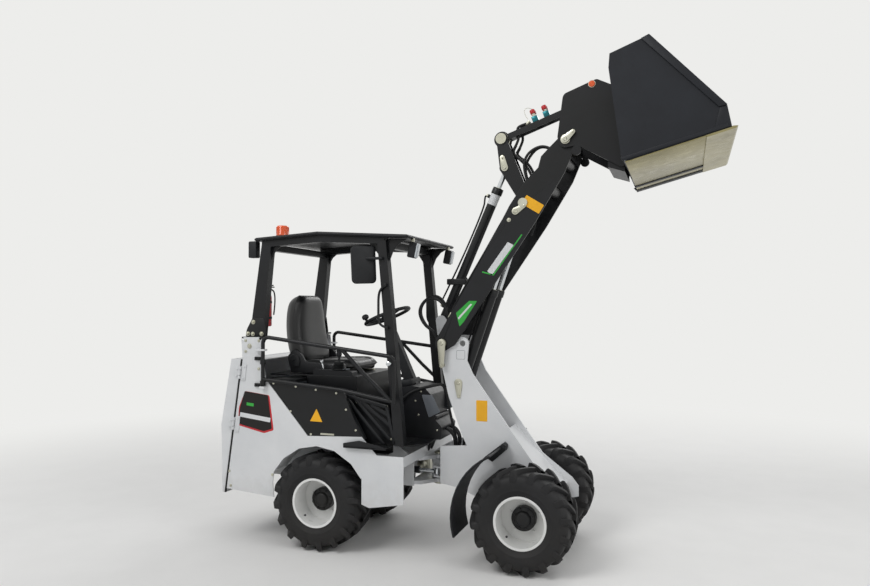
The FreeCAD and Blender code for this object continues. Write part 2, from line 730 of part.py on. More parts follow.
for low in (size(34), size(-46)):
    tower.plate(low, 12, outline([(-8, 1490), (20, 1285), (130, 1285), (125, 1370), (66, 1500)]))
    tower.discs(low, 12, [(tilt_base_x, tilt_base_z, 38)])
    tower.holes(low, 12, [(boom_pivot_x, boom_pivot_z, pin_radius + pin_fit)])
tower.pad(UP, -45, 90, circle(tilt_base_x, tilt_base_z, pin_radius))
for z in (steer_height - 36, steer_height + 26):
    tower.slab(z, 10, outline([(steer_tip_x - 18, steer_tip_y - 22), (70, steer_tip_y - 40),
        (70, steer_tip_y + 40),
                               (steer_tip_x - 18, steer_tip_y + 22)]))
for z, gauge in ((430, 24), (530, 24)):
    tower.slab(z, gauge, outline([(78, -72), (0, -50), (0, 50), (78, 100)]))
    tower.slab(z, gauge, circle(0, 0, 50))
    tower.cut(TOP, z, gauge, circle(0, 0, pivot_radius + pin_fit))

fenders = Piece("front_fenders", axle_x, 0, tyre_radius)
for sign in (1, -1):
    low = size(238) if sign > 0 else size(-536)
    steps = [(math.cos(math.radians(a)), math.sin(math.radians(a))) for a in range(196, 115, -8)]
    inner_line = [(fender_radius * c, fender_radius * s) for c, s in steps]
    outer_line = [((fender_radius + fender_gauge) * c,
        (fender_radius + fender_gauge) * s) for c, s in steps]
    fenders.plate(low, 298, outline(inner_line + outer_line[::-1]))
    low = tower_y + tower_gauge if sign > 0 else size(-242)
    fenders.plate(low, 242 - tower_y - tower_gauge, outline([(-290, 318), (-172, 412),
        (-152, 396), (-158, 363), (-240, 290)]))

# Boom

boom_outline = [
    (0, 52), (300, 60), (640, 70), (lift_pin_along + 10, 95), (boom_length - 353, 90),
    (boom_length - 233, 62),
    (boom_length - 163, 84), (boom_length - 83, 66), (boom_length + 12, 42), (boom_length + 17, -36),
    (boom_length - 23, -75), (boom_length - 183, -102), (lift_pin_along + 10, -108), (400, -88),
    (40, -78), (-30, -42)]
boom = Piece("boom", boom_pivot_x, 0, boom_pivot_z, boom_angle)
lever_run = lever_pivot_x - boom_pivot_x
lever_rise = lever_pivot_z - boom_pivot_z
lever_along = lever_run * boom_cos + lever_rise * boom_sin
lever_above = lever_rise * boom_cos - lever_run * boom_sin
for sign in (1, -1):
    low = boom_y if sign > 0 else -boom_y - boom_gauge
    boom.plate(low, boom_gauge, outline(boom_outline))
    boom.discs(low, boom_gauge, [(0, 0, 52), (boom_length, 0, 46)])
    boom.holes(low, boom_gauge, [
        (0, 0, pin_radius + pin_fit), (boom_length, 0, pin_radius + pin_fit),
        (lift_pin_along, lift_pin_above, pin_radius + pin_fit),
        (lever_along, lever_above, pin_radius + pin_fit)])
for along, above, radius in ((boom_length - 303, -40, 40), (boom_length - 103, -30, 40), (250, 36, 20)):
    boom.pad(UP, -boom_y - 1, boom_y * 2 + 2, circle(along, above, radius))

pin_spots = (
    ("boom_pin", boom_pivot_x, boom_pivot_z, 205, pin_radius, pin_radius),
    ("bucket_pin", bucket_pin_x, bucket_pin_z, 215, pin_radius, bucket_hub_radius),
    ("lever_pin", lever_pivot_x, lever_pivot_z, 200, pin_radius, lever_hub_radius),
    ("link_pin", lever_top_x, lever_top_z, lever_y + lever_gauge + 10, link_pin_radius, link_hub_radius))
for label, x, z, reach, radius, hub in pin_spots:
    pin = Piece(label, x, 0, z)
    reach = size(reach)
    pin.pad(UP, -reach, reach * 2, circle(0, 0, radius))
    for start in (-reach, reach - 8):
        pin.pad(UP, start, 8, circle(0, 0, radius + 12))
    hub_reach = (lever_y if label == "link_pin" else boom_y) - 0.3
    pin.pad(UP, -hub_reach, hub_reach * 2, circle(0, 0, hub))

# Lever and link

lever = Piece("tilt_lever")
for sign in (1, -1):
    low = lever_y if sign > 0 else -lever_y - lever_gauge
    lever.plate(low, lever_gauge, outline([
        (lever_top_x - 32, lever_top_z - 14), (lever_top_x - 6, lever_top_z + 32),
        (lever_top_x + 36, lever_top_z + 4),
        (lever_pivot_x + 34, lever_pivot_z + 14), (lever_pivot_x - 16, lever_pivot_z - 32),
        (lever_pivot_x - 36, lever_pivot_z), (tilt_pin_x - 32, tilt_pin_z - 14)]))
    lever.discs(low, lever_gauge, [
        (lever_top_x, lever_top_z, link_pin_radius + 20),
        (lever_pivot_x, lever_pivot_z, lever_hub_radius + 9),
        (tilt_pin_x, tilt_pin_z, boss_radius)])
    lever.holes(low, lever_gauge, [
        (lever_top_x, lever_top_z, link_pin_radius + pin_fit),
        (lever_pivot_x, lever_pivot_z, lever_hub_radius + pin_fit)])
lever.pad(UP, -lever_y - 1, lever_y * 2 + 2, circle(lever_pivot_x - 55, lever_pivot_z + 130, 20))

link_angle = direction(lever_top_x, lever_top_z, link_end_x, link_end_z)
link_length = math.hypot(float(link_end_x) - float(lever_top_x), float(link_end_z) - float(lever_top_z))
link = Piece("tilt_link", lever_top_x, 0, lever_top_z, link_angle)
half_link = link_width / 2
half_height = link_height / 2
for start in (-half_link, half_link - link_gauge):
    link.plate(start, link_gauge, box(0, link_length, -half_height, half_height))
    link.plate(start, link_gauge, circle(link_length, 0, boss_radius))
    link.plate(start, link_gauge, circle(0, 0, link_hub_radius + 8))
link.plate(-half_link, link_width, box(60, 90, -half_height, half_height))
link.holes(-half_link, link_width, [(0, 0, link_hub_radius + pin_fit),
    (link_length, 0, pin_radius + pin_fit)])

# Cylinders


def cylinder(name, base, tip, barrel_length, barrel_radius, rod_radius, rows, eye_width):
    """Barrel and rod of one or more like cylinders along local X, from base pin to rod pin."""
    angle = direction(base[0], base[1], tip[0], tip[1])
    length = math.hypot(float(tip[0]) - float(base[0]), float(tip[1]) - float(base[1]))
    barrel = Piece(name + "_barrel" + ("s" if len(rows) > 1 else ""), base[0], 0, base[1], angle)
    rod = Piece(name + "_rod" + ("s" if len(rows) > 1 else ""), base[0], 0, base[1], angle)
    for y in rows:
        y = size(y)
        barrel.turn(outline([(30, 0), (30, barrel_radius), (barrel_length - 40, barrel_radius),
                             (barrel_length - 40, barrel_radius + 4), (barrel_length, barrel_radius + 4),
                             (barrel_length, rod_radius + 1), (60, rod_radius + 1), (60, 0)]), shift=(0, y))
        barrel.pad(UP, -y - eye_width / 2, eye_width, both(circle(0, 0, 36), circle(0, 0,
            pin_radius + pin_fit)))
        rod.turn(outline([(barrel_length - 100, 0), (barrel_length - 100, rod_radius),
                          (length - 30, rod_radius), (length - 30, 0)]), shift=(0, y))
        rod.pad(UP, -y - eye_width / 2, eye_width, circle(length, 0, 32))
    if len(rows) > 1:
        reach = boom_y - 0.3
        rod.pad(UP, -reach, reach * 2, circle(length, 0, pin_radius))
    return barrel, rod


cylinder("lift", (lift_base_x, lift_base_z),
    (lift_pin_x, lift_pin_z), lift_barrel_length, lift_barrel_radius,
         lift_rod_radius, [lift_y, -lift_y], size(34))
cylinder("tilt", (tilt_base_x, tilt_base_z),
    (tilt_pin_x, tilt_pin_z), tilt_barrel_length, tilt_barrel_radius,
         tilt_rod_radius, [0], size(64))

# Coupler and bucket


def bucket_shape(points):
    corners = []
    for point in points:
        x, z = on_bucket(point[0], point[1])
        corners.append((x, z) if len(point) < 3 else (x, z, point[2]))
    return outline(corners)


coupler = Piece("coupler")
for sign in (1, -1):
    low = boom_y + boom_gauge + side_play if sign > 0 else -boom_y - boom_gauge - side_play - coupler_gauge
    coupler.plate(low, coupler_gauge, both(
        bucket_shape([(-45, -45, 40), (60, -60, 30), (300, -300, 20), (368.4, 222), (280, 300, 30),
            (60, 280, 40),
                      (-45, 30, 40)]),
        circle(bucket_pin_x, bucket_pin_z, pin_radius + pin_fit)))
coupler.plate(-boom_y - boom_gauge - side_play - 1, (boom_y + boom_gauge + side_play + 1) * 2,
              bucket_shape([(200, -250), (290, -310), (300, -260), (215, -200)]))
for sign in (1, -1):
    low = link_width / 2 + eye_play if sign > 0 else -link_width / 2 - eye_play - coupler_gauge
    coupler.plate(low, coupler_gauge, bucket_shape([(60, 190, 20), (250, 120), (355, 120),
        (367.4, 215), (250, 290), (70, 290, 40)]))
coupler.plate(-boom_y - boom_gauge - side_play - 1, (boom_y + boom_gauge + side_play + 1) * 2,
              bucket_shape([(344, 130), (356.3, 130), (368, 220), (356, 220)]))

bucket = Piece("bucket")
bucket_side = [(298, -323, 40), (369, 223), (396, 300), (625, 322, 10), (903, -200), (895, -319)]
half_bucket = bucket_width / 2
for sign in (1, -1):
    low = half_bucket - 10 if sign > 0 else -half_bucket
    bucket.plate(low, 10, bucket_shape(bucket_side))
bucket.plate(-half_bucket + 9, (half_bucket - 9) * 2, bucket_shape([
    (298, -323, 40), (895, -323), (895, -317), (304, -317, 34), (375, 223), (402, 296), (625, 316),
    (625, 322),
    (396, 302), (369, 225)]))
edge = Piece("cutting_edge")
edge.plate(-half_bucket, half_bucket * 2, bucket_shape([(760, -323), (760, -335), (915, -335),
    (928, -326), (905, -319), (895, -319), (895, -323)]))

# Steering cylinder

steer_angle = math.degrees(math.atan2(float(steer_tip_y) - float(steer_base_y),
    float(steer_tip_x) - float(steer_base_x)))
steer_length = math.hypot(float(steer_tip_x) - float(steer_base_x),
    float(steer_tip_y) - float(steer_base_y))


def steer_piece(label, shape):
    thing = doc.addObject("Part::Feature", label)
    thing.Label = label
    thing.Shape = shape
    thing.Placement = Placement(Vector(float(pivot_x + steer_base_x), float(steer_base_y),
        float(steer_height)),
                                Rotation(Vector(0, 0, 1), steer_angle))
    return thing


forward = Vector(1, 0, 0)
hole_radius = float(steer_pin_radius + pin_fit)
barrel_shape = Part.makeCylinder(23, 212, Vector(20, 0, 0), forward).cut(
    Part.makeCylinder(13, 180, Vector(60, 0, 0), forward))
barrel_shape = barrel_shape.fuse(Part.makeCylinder(26, 34, Vector(0, 0, -17))).cut(
    Part.makeCylinder(hole_radius, 60, Vector(0, 0, -30)))
steer_piece("steer_barrel", barrel_shape)
rod_shape = Part.makeCylinder(12, steer_length - 180, Vector(160, 0, 0), forward).fuse(
    Part.makeCylinder(24, 30, Vector(steer_length, 0, -15))).fuse(
    Part.makeCylinder(float(steer_pin_radius), 51.4, Vector(steer_length, 0, -25.7)))
steer_piece("steer_rod", rod_shape)

doc.recompute()

# Checks and files

failed = []
for thing in doc.Objects:
    if "Invalid" in thing.State or "Error" in thing.State:
        failed.append("%s %s" % (thing.Label, thing.State))
pieces = [thing for thing in doc.Objects
          if thing.TypeId == "PartDesign::Body" or thing.TypeId == "Part::Feature"]
for thing in pieces:
    if thing.Shape.isNull() or not thing.Shape.isValid():
        failed.append("%s has no valid shape" % thing.Label)
if failed:
    raise RuntimeError("\n".join(failed))
for thing in pieces:
    thing.Shape.exportStep("parts/%s.step" % thing.Label)
    bounds = thing.Shape.BoundBox
    print("%-20s solids %d  x %.0f..%.0f  y %.0f..%.0f  z %.0f..%.0f" % (
        thing.Label, len(thing.Shape.Solids), bounds.XMin, bounds.XMax, bounds.YMin, bounds.YMax,
        bounds.ZMin, bounds.ZMax))
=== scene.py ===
"""Looks of a compact articulated wheel loader, boom raised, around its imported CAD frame."""
import math

import bmesh
import bpy
from mathutils import Matrix, Vector


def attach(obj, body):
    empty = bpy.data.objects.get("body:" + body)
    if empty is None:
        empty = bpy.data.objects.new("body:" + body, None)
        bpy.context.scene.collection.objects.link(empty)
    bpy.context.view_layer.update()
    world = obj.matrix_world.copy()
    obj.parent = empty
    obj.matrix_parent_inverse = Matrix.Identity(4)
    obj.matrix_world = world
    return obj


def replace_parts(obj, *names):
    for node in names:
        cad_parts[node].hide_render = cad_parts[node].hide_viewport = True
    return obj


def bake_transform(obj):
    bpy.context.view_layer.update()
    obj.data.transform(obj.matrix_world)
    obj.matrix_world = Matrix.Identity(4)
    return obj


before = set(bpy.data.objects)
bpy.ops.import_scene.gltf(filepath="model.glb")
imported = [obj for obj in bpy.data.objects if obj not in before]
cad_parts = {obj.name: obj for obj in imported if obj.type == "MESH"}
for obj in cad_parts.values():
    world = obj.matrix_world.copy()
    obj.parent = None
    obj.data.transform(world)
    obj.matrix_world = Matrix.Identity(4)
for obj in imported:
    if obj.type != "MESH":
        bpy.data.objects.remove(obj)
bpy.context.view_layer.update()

# Places are written in millimetres from the ground under the articulation pivot, x forward,
# y to the left and z up. The pivot stands this far behind the middle of the machine.
MM = 0.001
PIVOT_X = -0.2352
BOOM_FOOT = (87, 1354)
BOOM_ANGLE = math.radians(57.6)
BUCKET_PIN = (908, 2648)
BUCKET_ROLL = math.radians(15)
AXLE_X = 681
AXLE_HEIGHT = 316
WHEEL_Y = 398
TYRE_RADIUS = 316
SIDES = {"right": -1, "left": 1}


def at(x, y, z):
    """A point given in millimetres from the pivot, in the frame's metres."""
    return Vector((PIVOT_X + x * MM, y * MM, z * MM))


def on_boom(along, above):
    """x and z of a point given along the boom and above its line."""
    c, s = math.cos(BOOM_ANGLE), math.sin(BOOM_ANGLE)
    return BOOM_FOOT[0] + along * c - above * s, BOOM_FOOT[1] + along * s + above * c


def on_bucket(x, z):
    """x and z of a point given from the bucket pin, the bucket standing level."""
    c, s = math.cos(BUCKET_ROLL), math.sin(BUCKET_ROLL)
    return BUCKET_PIN[0] + x * c - z * s, BUCKET_PIN[1] + x * s + z * c


# Finishes


def linear(hex_colour):
    """An sRGB hex colour as linear RGBA."""
    levels = [int(hex_colour[i:i + 2], 16) / 255 for i in (0, 2, 4)]
    return [v / 12.92 if v <= 0.04045 else ((v + 0.055) / 1.055) ** 2.4 for v in levels] + [1.0]


def add(material, kind, settings=None, links=None):
    """Adds a node, sets its sockets or properties, and links its inputs to other nodes' outputs."""
    node = material.node_tree.nodes.new(kind)
    for name, value in (settings or {}).items():
        if name in node.inputs:
            node.inputs[name].default_value = value
        else:
            setattr(node, name, value)
    for name, (source, output) in (links or {}).items():
        material.node_tree.links.new(source.outputs[output], node.inputs[name])
    return node


def ramp(material, source, output, stops):
    """A colour ramp over a source. Stops are position and hex colour or grey level."""
    node = add(material, "ShaderNodeValToRGB", links={"Fac": (source, output)})
    elements = node.color_ramp.elements
    while len(elements) < len(stops):
        elements.new(0.5)
    for element, (position, colour) in zip(elements, stops):
        element.position = position
        element.color = linear(colour) if isinstance(colour, str) else (colour, colour, colour, 1)
    return node


def finish(name, colour, worn, roughness, grain_mm, grain_height_mm, dust="", metallic=0.0, coat=0.0,
           spread=0.08, sheen=0.0, specular=0.5):
    """A finish with a fine surface grain, slow changes of colour and, low down, road dust.

    colour and worn are the two ends of its slow colour change, grain_mm the real size of the
    grain, and spread how far the roughness wanders.
    """
    material = bpy.data.materials.new(name)
    material.use_nodes = True
    shader = material.node_tree.nodes["Principled BSDF"]
    shader.inputs["Metallic"].default_value = metallic
    shader.inputs["Coat Weight"].default_value = coat
    shader.inputs["Coat Roughness"].default_value = 0.12
    shader.inputs["Sheen Weight"].default_value = sheen
    shader.inputs["Specular IOR Level"].default_value = specular
    place = add(material, "ShaderNodeTexCoord")
    patches = add(material, "ShaderNodeTexNoise", {"Scale": 3.0, "Detail": 5.0, "Roughness": 0.6},
                  {"Vector": (place, "Object")})
    tint = ramp(material, patches, "Fac", [(0.36, colour), (0.72, worn)])
    source = (tint, "Color")
    if dust:
        height = add(material, "ShaderNodeSeparateXYZ", links={"Vector": (place, "Object")})
        streaks = add(material, "ShaderNodeTexNoise", {"Scale": 14.0, "Detail": 6.0, "Roughness": 0.7},
                      {"Vector": (place, "Object")})
        low = add(material, "ShaderNodeMapRange", {"From Min": 0.05, "From Max": 0.75, "To Min": 1.0, "To Max": 0.0},
                  {"Value": (height, "Z")})
        amount = add(material, "ShaderNodeMath", {"operation": "MULTIPLY"},
                     {0: (low, "Result"), 1: (streaks, "Fac")})
        soft = ramp(material, amount, 0, [(0.18, 0.0), (0.72, 0.55)])
        mix = add(material, "ShaderNodeMixRGB", {"Color2": linear(dust)},
                  {"Fac": (soft, "Color"), "Color1": (tint, "Color")})
        source = (mix, "Color")
    material.node_tree.links.new(source[0].outputs[source[1]], shader.inputs["Base Color"])
    cloud = add(material, "ShaderNodeTexNoise", {"Scale": 25.0, "Detail": 4.0}, {"Vector": (place, "Object")})
    sheen_map = add(material, "ShaderNodeMapRange",
                    {"To Min": roughness - spread, "To Max": roughness + spread}, {"Value": (cloud, "Fac")})
    material.node_tree.links.new(sheen_map.outputs["Result"], shader.inputs["Roughness"])
    grain = add(material, "ShaderNodeTexNoise", {"Scale": 1.0 / (grain_mm * MM), "Detail": 2.0},
                {"Vector": (place, "Object")})
    bump = add(material, "ShaderNodeBump", {"Strength": 0.6, "Distance": grain_height_mm * MM},
               {"Height": (grain, "Fac")})
    material.node_tree.links.new(bump.outputs["Normal"], shader.inputs["Normal"])
    return material


# Polyester powder coat on steel: even, half gloss, with a faint orange peel about 3 mm across.
white_paint = finish("powder_coat_white", "D9DADB", "CDCFD1", 0.34, 3.0, 0.05, dust="A59C90", coat=0.25)
black_paint = finish("powder_coat_black", "0D0E0F", "15161A", 0.42, 2.5, 0.06, dust="38352F", coat=0.06,
                     specular=0.3)
# The same coat where the bucket is scuffed: duller, greyer in patches.
bucket_paint = finish("scuffed_black_paint", "12141A", "1C1F25", 0.5, 4.0, 0.12, spread=0.14, specular=0.3)
# Rim enamel: white, glossier than the body.
rim_paint = finish("rim_enamel_white", "E2E2E0", "D5D5D2", 0.3, 3.0, 0.04, coat=0.3)
# Cured tyre rubber: matt, charcoal, with a skin grain and dust in the low places.
tyre_rubber = finish("tyre_rubber_cured", "131314", "1D1D1F", 0.6, 1.6, 0.12, dust="2E2B28", specular=0.35)
# Hose rubber: smooth braided cover under a matt black skin.
hose_rubber = finish("hose_rubber_black", "0C0D0E", "141517", 0.5, 1.4, 0.08, specular=0.35)
# Injection-moulded polypropylene: fine spark grain, low gloss.
black_plastic = finish("moulded_black_plastic", "101114", "181A1D", 0.55, 1.2, 0.07, specular=0.35)
grey_plastic = finish("moulded_grey_plastic", "5B6066", "6C7076", 0.5, 1.2, 0.06)
# Leather-grain vinyl over foam: soft sheen over a pebble about 2 mm across.
seat_vinyl = finish("seat_vinyl_leather_grain", "0A0B0C", "111214", 0.36, 2.2, 0.2, sheen=0.1, specular=0.45)
# Hard chrome on ground steel: a mirror, barely scratched.
chrome = finish("hard_chrome", "D3D6D8", "C6CACD", 0.14, 4.0, 0.01, metallic=1.0, spread=0.05)
# Zinc plate with a pale yellow passivation, satin.
zinc = finish("zinc_plate_passivated", "C4C3B4", "A9A797", 0.34, 2.5, 0.03, metallic=1.0, spread=0.1)
# Bare edge steel, ground and worn bright by soil; its yellow-bronze colour is painted reflection of the green trees
# around it.
steel_with_painted_reflection = finish("ground_edge_steel", "A39B74", "7C7450", 0.3, 5.0, 0.012, metallic=1.0, spread=0.12)
amber_lens = finish("amber_gloss_plastic", "F2611A", "E2520F", 0.22, 5.0, 0.02, coat=0.5)
red_paint = finish("red_gloss_enamel", "B3121C", "9C0F18", 0.28, 3.0, 0.03, coat=0.4)
red_plastic = finish("red_moulded_cap", "C41E24", "A8171D", 0.42, 1.2, 0.05)
teal_metal = finish("anodised_teal_alloy", "1F6F78", "195C64", 0.3, 1.2, 0.03, metallic=0.6)
label_yellow = finish("vinyl_label_yellow", "F0B012", "E4A50C", 0.38, 4.0, 0.01)
label_green = finish("vinyl_stripe_green", "2FAE3C", "289A35", 0.36, 4.0, 0.01)
label_red = finish("vinyl_stripe_red", "C8202A", "B51B25", 0.36, 4.0, 0.01)
label_black = finish("vinyl_panel_black", "141211", "1A1715", 0.36, 4.0, 0.01, specular=0.3)
label_white = finish("vinyl_label_white", "DADBDC", "CFD1D2", 0.38, 4.0, 0.01)
mirror_glass = finish("silvered_glass", "B8BEC4", "ADB4BB", 0.06, 6.0, 0.005, metallic=1.0, spread=0.03)
lamp_glass = finish("lamp_lens_clear", "C9CED2", "B7BDC2", 0.12, 6.0, 0.02, coat=0.6, spread=0.05)

DRESS = {
    "rear_body": white_paint, "rear_door": white_paint, "rear_chassis": white_paint, "front_chassis": white_paint,
    "rear_axle": black_paint, "front_axle": black_paint, "battery_block": grey_plastic,
    "seat_pedestal": black_paint, "side_panels": black_paint, "floor_plate": black_paint,
    "control_console": black_plastic, "dash": black_paint, "steering_column": black_plastic,
    "steering_wheel": black_plastic, "canopy_frame": black_paint, "canopy_roof": black_paint,
    "beacon": amber_lens, "work_lamps": black_plastic, "mirrors": black_plastic, "fire_extinguisher": red_paint,
    "gate_right": black_paint, "gate_left": black_paint, "front_fenders": black_plastic, "boom": black_paint,
    "boom_pin": zinc, "bucket_pin": zinc, "lever_pin": zinc, "link_pin": zinc, "tilt_lever": black_paint,
    "tilt_link": black_paint, "lift_barrels": black_paint, "lift_rods": chrome, "tilt_barrel": black_paint,
    "tilt_rod": chrome, "coupler": black_paint, "bucket": bucket_paint, "cutting_edge": steel_with_painted_reflection,
    "steer_barrel": black_paint, "steer_rod": chrome,
    "seat_cushion": seat_vinyl, "seat_back": seat_vinyl,
}
for end in ("front", "rear"):
    for side in SIDES:
        DRESS["tyre_%s_%s" % (end, side)] = tyre_rubber
        DRESS["rim_%s_%s" % (end, side)] = rim_paint
ROUNDED = {  # edge radius in millimetres of the folded sheet and cut plate that show
    "rear_body": 2.5, "rear_door": 2.5, "front_chassis": 1.5, "rear_chassis": 1.5, "boom": 1.2, "tilt_lever": 1.2,
    "tilt_link": 1.2, "coupler": 1.2, "bucket": 1.2, "canopy_frame": 3, "canopy_roof": 3, "side_panels": 2,
    "floor_plate": 1, "dash": 4, "seat_pedestal": 3, "control_console": 6, "front_fenders": 1.5,
}
for name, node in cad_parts.items():
    node.data.materials.clear()
    node.data.materials.append(DRESS[name])
    node.data.polygons.foreach_set("use_smooth", [True] * len(node.data.polygons))
    weld = node.modifiers.new("weld", "WELD")
    weld.merge_threshold = 0.00002
    if name in ROUNDED:
        bevel = node.modifiers.new("rounded_edges", "BEVEL")
        bevel.width = ROUNDED[name] * MM
        bevel.segments = 2
        bevel.limit_method = "ANGLE"
        bevel.angle_limit = math.radians(38)
        bevel.use_clamp_overlap = True
        even = node.modifiers.new("even_normals", "WEIGHTED_NORMAL")
        even.weight = 80
    else:
        split = node.modifiers.new("crisp_edges", "EDGE_SPLIT")
        split.split_angle = math.radians(32)


# Shapes


def turned(direction):
    """The rotation that takes +Z to a direction."""
    return Vector(direction).to_track_quat("Z", "Y").to_matrix().to_4x4()


class Shape:
    """Forms gathered in one mesh. Points are in millimetres from the pivot."""

    def __init__(self):
        self.bm = bmesh.new()

    def round_edges(self, verts, radius, segments=2, angle=30):
        edges = {e for v in verts for e in v.link_edges if e.is_manifold and e.calc_face_angle() > math.radians(angle)}
        bmesh.ops.bevel(self.bm, geom=list(edges), offset=radius * MM, offset_type="OFFSET", segments=segments,
                        profile=0.5, affect="EDGES", material=-1, clamp_overlap=True)

    def block(self, low, high, radius=0, turn=None, about=None):
        """A box between two corners, its edges rounded, perhaps turned about a point."""
        made = bmesh.ops.create_cube(self.bm, size=1.0)["verts"]
        low_point, high_point = at(*low), at(*high)
        size = high_point - low_point
        bmesh.ops.scale(self.bm, vec=size, verts=made)
        bmesh.ops.translate(self.bm, vec=(low_point + high_point) / 2, verts=made)
        if turn is not None:
            bmesh.ops.rotate(self.bm, cent=at(*about) if about else (low_point + high_point) / 2, matrix=turn, verts=made)
        if radius:
            self.round_edges(made, radius)

    def rod(self, start, end, radius, end_radius=None, sides=24, edge=0):
        """A round bar or cone from one point to another."""
        a, b = at(*start), at(*end)
        matrix = Matrix.Translation((a + b) / 2) @ turned(b - a)
        made = bmesh.ops.create_cone(
            self.bm, cap_ends=True, segments=sides, radius1=radius * MM,
            radius2=(radius if end_radius is None else end_radius) * MM, depth=(b - a).length, matrix=matrix)["verts"]
        if edge:
            self.round_edges(made, edge, angle=50)

    def sheet(self, outline, low, high, edge=0, corner=0, lying=False):
        """A plate between two planes of constant y, or of constant z when it is lying.

        The outline gives x and z, or x and y. Its corners and its edges may be rounded.
        """
        flat = bmesh.new()
        flat.faces.new([flat.verts.new(at(a, b, low) if lying else at(a, low, b)) for a, b in outline])
        if corner:
            bmesh.ops.bevel(flat, geom=flat.verts[:], offset=corner * MM, offset_type="OFFSET", segments=4,
                            profile=0.5, affect="VERTICES", material=-1, clamp_overlap=True)
        grown = bmesh.ops.extrude_face_region(flat, geom=flat.faces[:])["geom"]
        top = [v for v in grown if isinstance(v, bmesh.types.BMVert)]
        thick = (high - low) * MM
        bmesh.ops.translate(flat, vec=(0, 0, thick) if lying else (0, thick, 0), verts=top)
        bmesh.ops.recalc_face_normals(flat, faces=flat.faces)
        if edge:
            sharp = [e for e in flat.edges if e.is_manifold and e.calc_face_angle() > math.radians(50)]
            bmesh.ops.bevel(flat, geom=sharp, offset=edge * MM, offset_type="OFFSET", segments=2, profile=0.5,
                            affect="EDGES", material=-1, clamp_overlap=True)
        plate = bpy.data.meshes.new("plate")
        flat.to_mesh(plate)
        flat.free()
        self.bm.from_mesh(plate)
        bpy.data.meshes.remove(plate)

    def lathe(self, centre, axis, profile, steps=32):
        """A turned form: radius, offset pairs along an axis through a centre."""
        rotation = turned(axis)
        move = Matrix.Translation(at(*centre)) @ rotation
        verts = [self.bm.verts.new(move @ Vector((r * MM, 0, o * MM))) for r, o in profile]
        edges = [self.bm.edges.new(pair) for pair in zip(verts, verts[1:])]
        bmesh.ops.spin(self.bm, geom=verts + edges, cent=at(*centre), axis=rotation.to_3x3() @ Vector((0, 0, 1)),
                       angle=math.tau, steps=steps, use_merge=True)

    def bolt(self, place, axis, size=10, washer=True):
        """A hexagon head, size across, on its washer."""
        outward = Vector(axis).normalized()
        base = Vector(place)
        if washer:
            self.rod(base, base + outward * 2, size * 0.95, sides=20)
        self.rod(base + outward * 1.5, base + outward * (size * 0.62), size * 0.56, sides=6, edge=0.8)
        self.rod(base + outward * (size * 0.6), base + outward * (size * 0.75), size * 0.3, sides=10)

    def piece(self, name, body, material, slot=None, smooth=35, subdivide=0):
        """Closes the mesh and puts it on its body."""
        bmesh.ops.remove_doubles(self.bm, verts=self.bm.verts, dist=0.00001)
        bmesh.ops.recalc_face_normals(self.bm, faces=self.bm.faces)
        mesh = bpy.data.meshes.new(name)
        self.bm.to_mesh(mesh)
        self.bm.free()
        return settle(mesh, name, body, material, smooth, subdivide)


def settle(mesh, name, body, material, smooth=35, subdivide=0):
    """An object for a finished mesh, shaded smooth up to an angle, riding on its body."""
    mesh.materials.clear()
    mesh.materials.append(material)
    obj = bpy.data.objects.new(name, mesh)
    bpy.context.scene.collection.objects.link(obj)
    mesh.shade_smooth()
    if smooth is not None:
        mesh.set_sharp_from_angle(angle=math.radians(smooth))
    if subdivide:
        modifier = obj.modifiers.new("rounding", "SUBSURF")
        modifier.levels = modifier.render_levels = subdivide
    if body:
        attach(obj, body)
    return obj


def hose(name, body, points, radius, material=None, cyclic=False):
    """A tube along a smooth line through control points in millimetres."""
    curve = bpy.data.curves.new(name, "CURVE")
    curve.dimensions = "3D"
    curve.bevel_depth = radius * MM
    curve.bevel_resolution = 4
    curve.resolution_u = 10
    curve.use_fill_caps = not cyclic
    spline = curve.splines.new("NURBS")
    spline.points.add(len(points) - 1)
    for point, place in zip(spline.points, points):
        point.co = (*at(*place), 1)
    spline.use_cyclic_u = cyclic
    spline.order_u = 3
    spline.use_endpoint_u = not cyclic
    holder = bpy.data.objects.new(name + "_line", curve)
    bpy.context.scene.collection.objects.link(holder)
    mesh = bpy.data.meshes.new_from_object(holder.evaluated_get(bpy.context.evaluated_depsgraph_get()))
    bpy.data.objects.remove(holder)
    mesh.name = name
    return settle(mesh, name, body, material or hose_rubber, smooth=60)


# Tyres: a carcass turned about the axle, and two rows of lugs, half a pitch apart

LUGS = 16
LUG_SWEEP = 0.34
CARCASS = [
    (152.5, 124.9), (156, 129), (163, 131.5), (170, 132), (178, 136), (190, 139.5), (196, 142), (201, 141), (214, 142.6),
    (228, 142.6), (243, 141.5), (256, 138.5), (268, 133), (278, 124), (285, 112), (289, 92), (291, 60), (292, 30), (292.5, 0)]
# Station along a lug: share of its sweep, y, top radius, root radius, half width at the top and root
LUG_STATIONS = [
    (0.00, -6, 316, 288, 13, 17), (0.22, 24, 316, 288, 13, 18), (0.50, 62, 315.6, 287, 14, 19),
    (0.78, 98, 314.5, 284, 15.5, 21), (0.93, 122, 311, 276, 17, 23), (1.00, 137.5, 300, 262, 17, 23),
    (1.03, 142.2, 282, 250, 15, 20), (1.05, 142.8, 262, 244, 12, 15)]


def lug_corners(station, start, hand, centre):
    share, y, top, root, half_top, half_root = station
    corners = []
    for radius, half in ((root, -half_root), (top, -half_top), (top, half_top), (root, half_root)):
        angle = start + share * LUG_SWEEP + half / radius
        corners.append(at(centre[0] + radius * math.cos(angle), centre[1] + hand * y, centre[2] + radius * math.sin(angle)))
    return corners


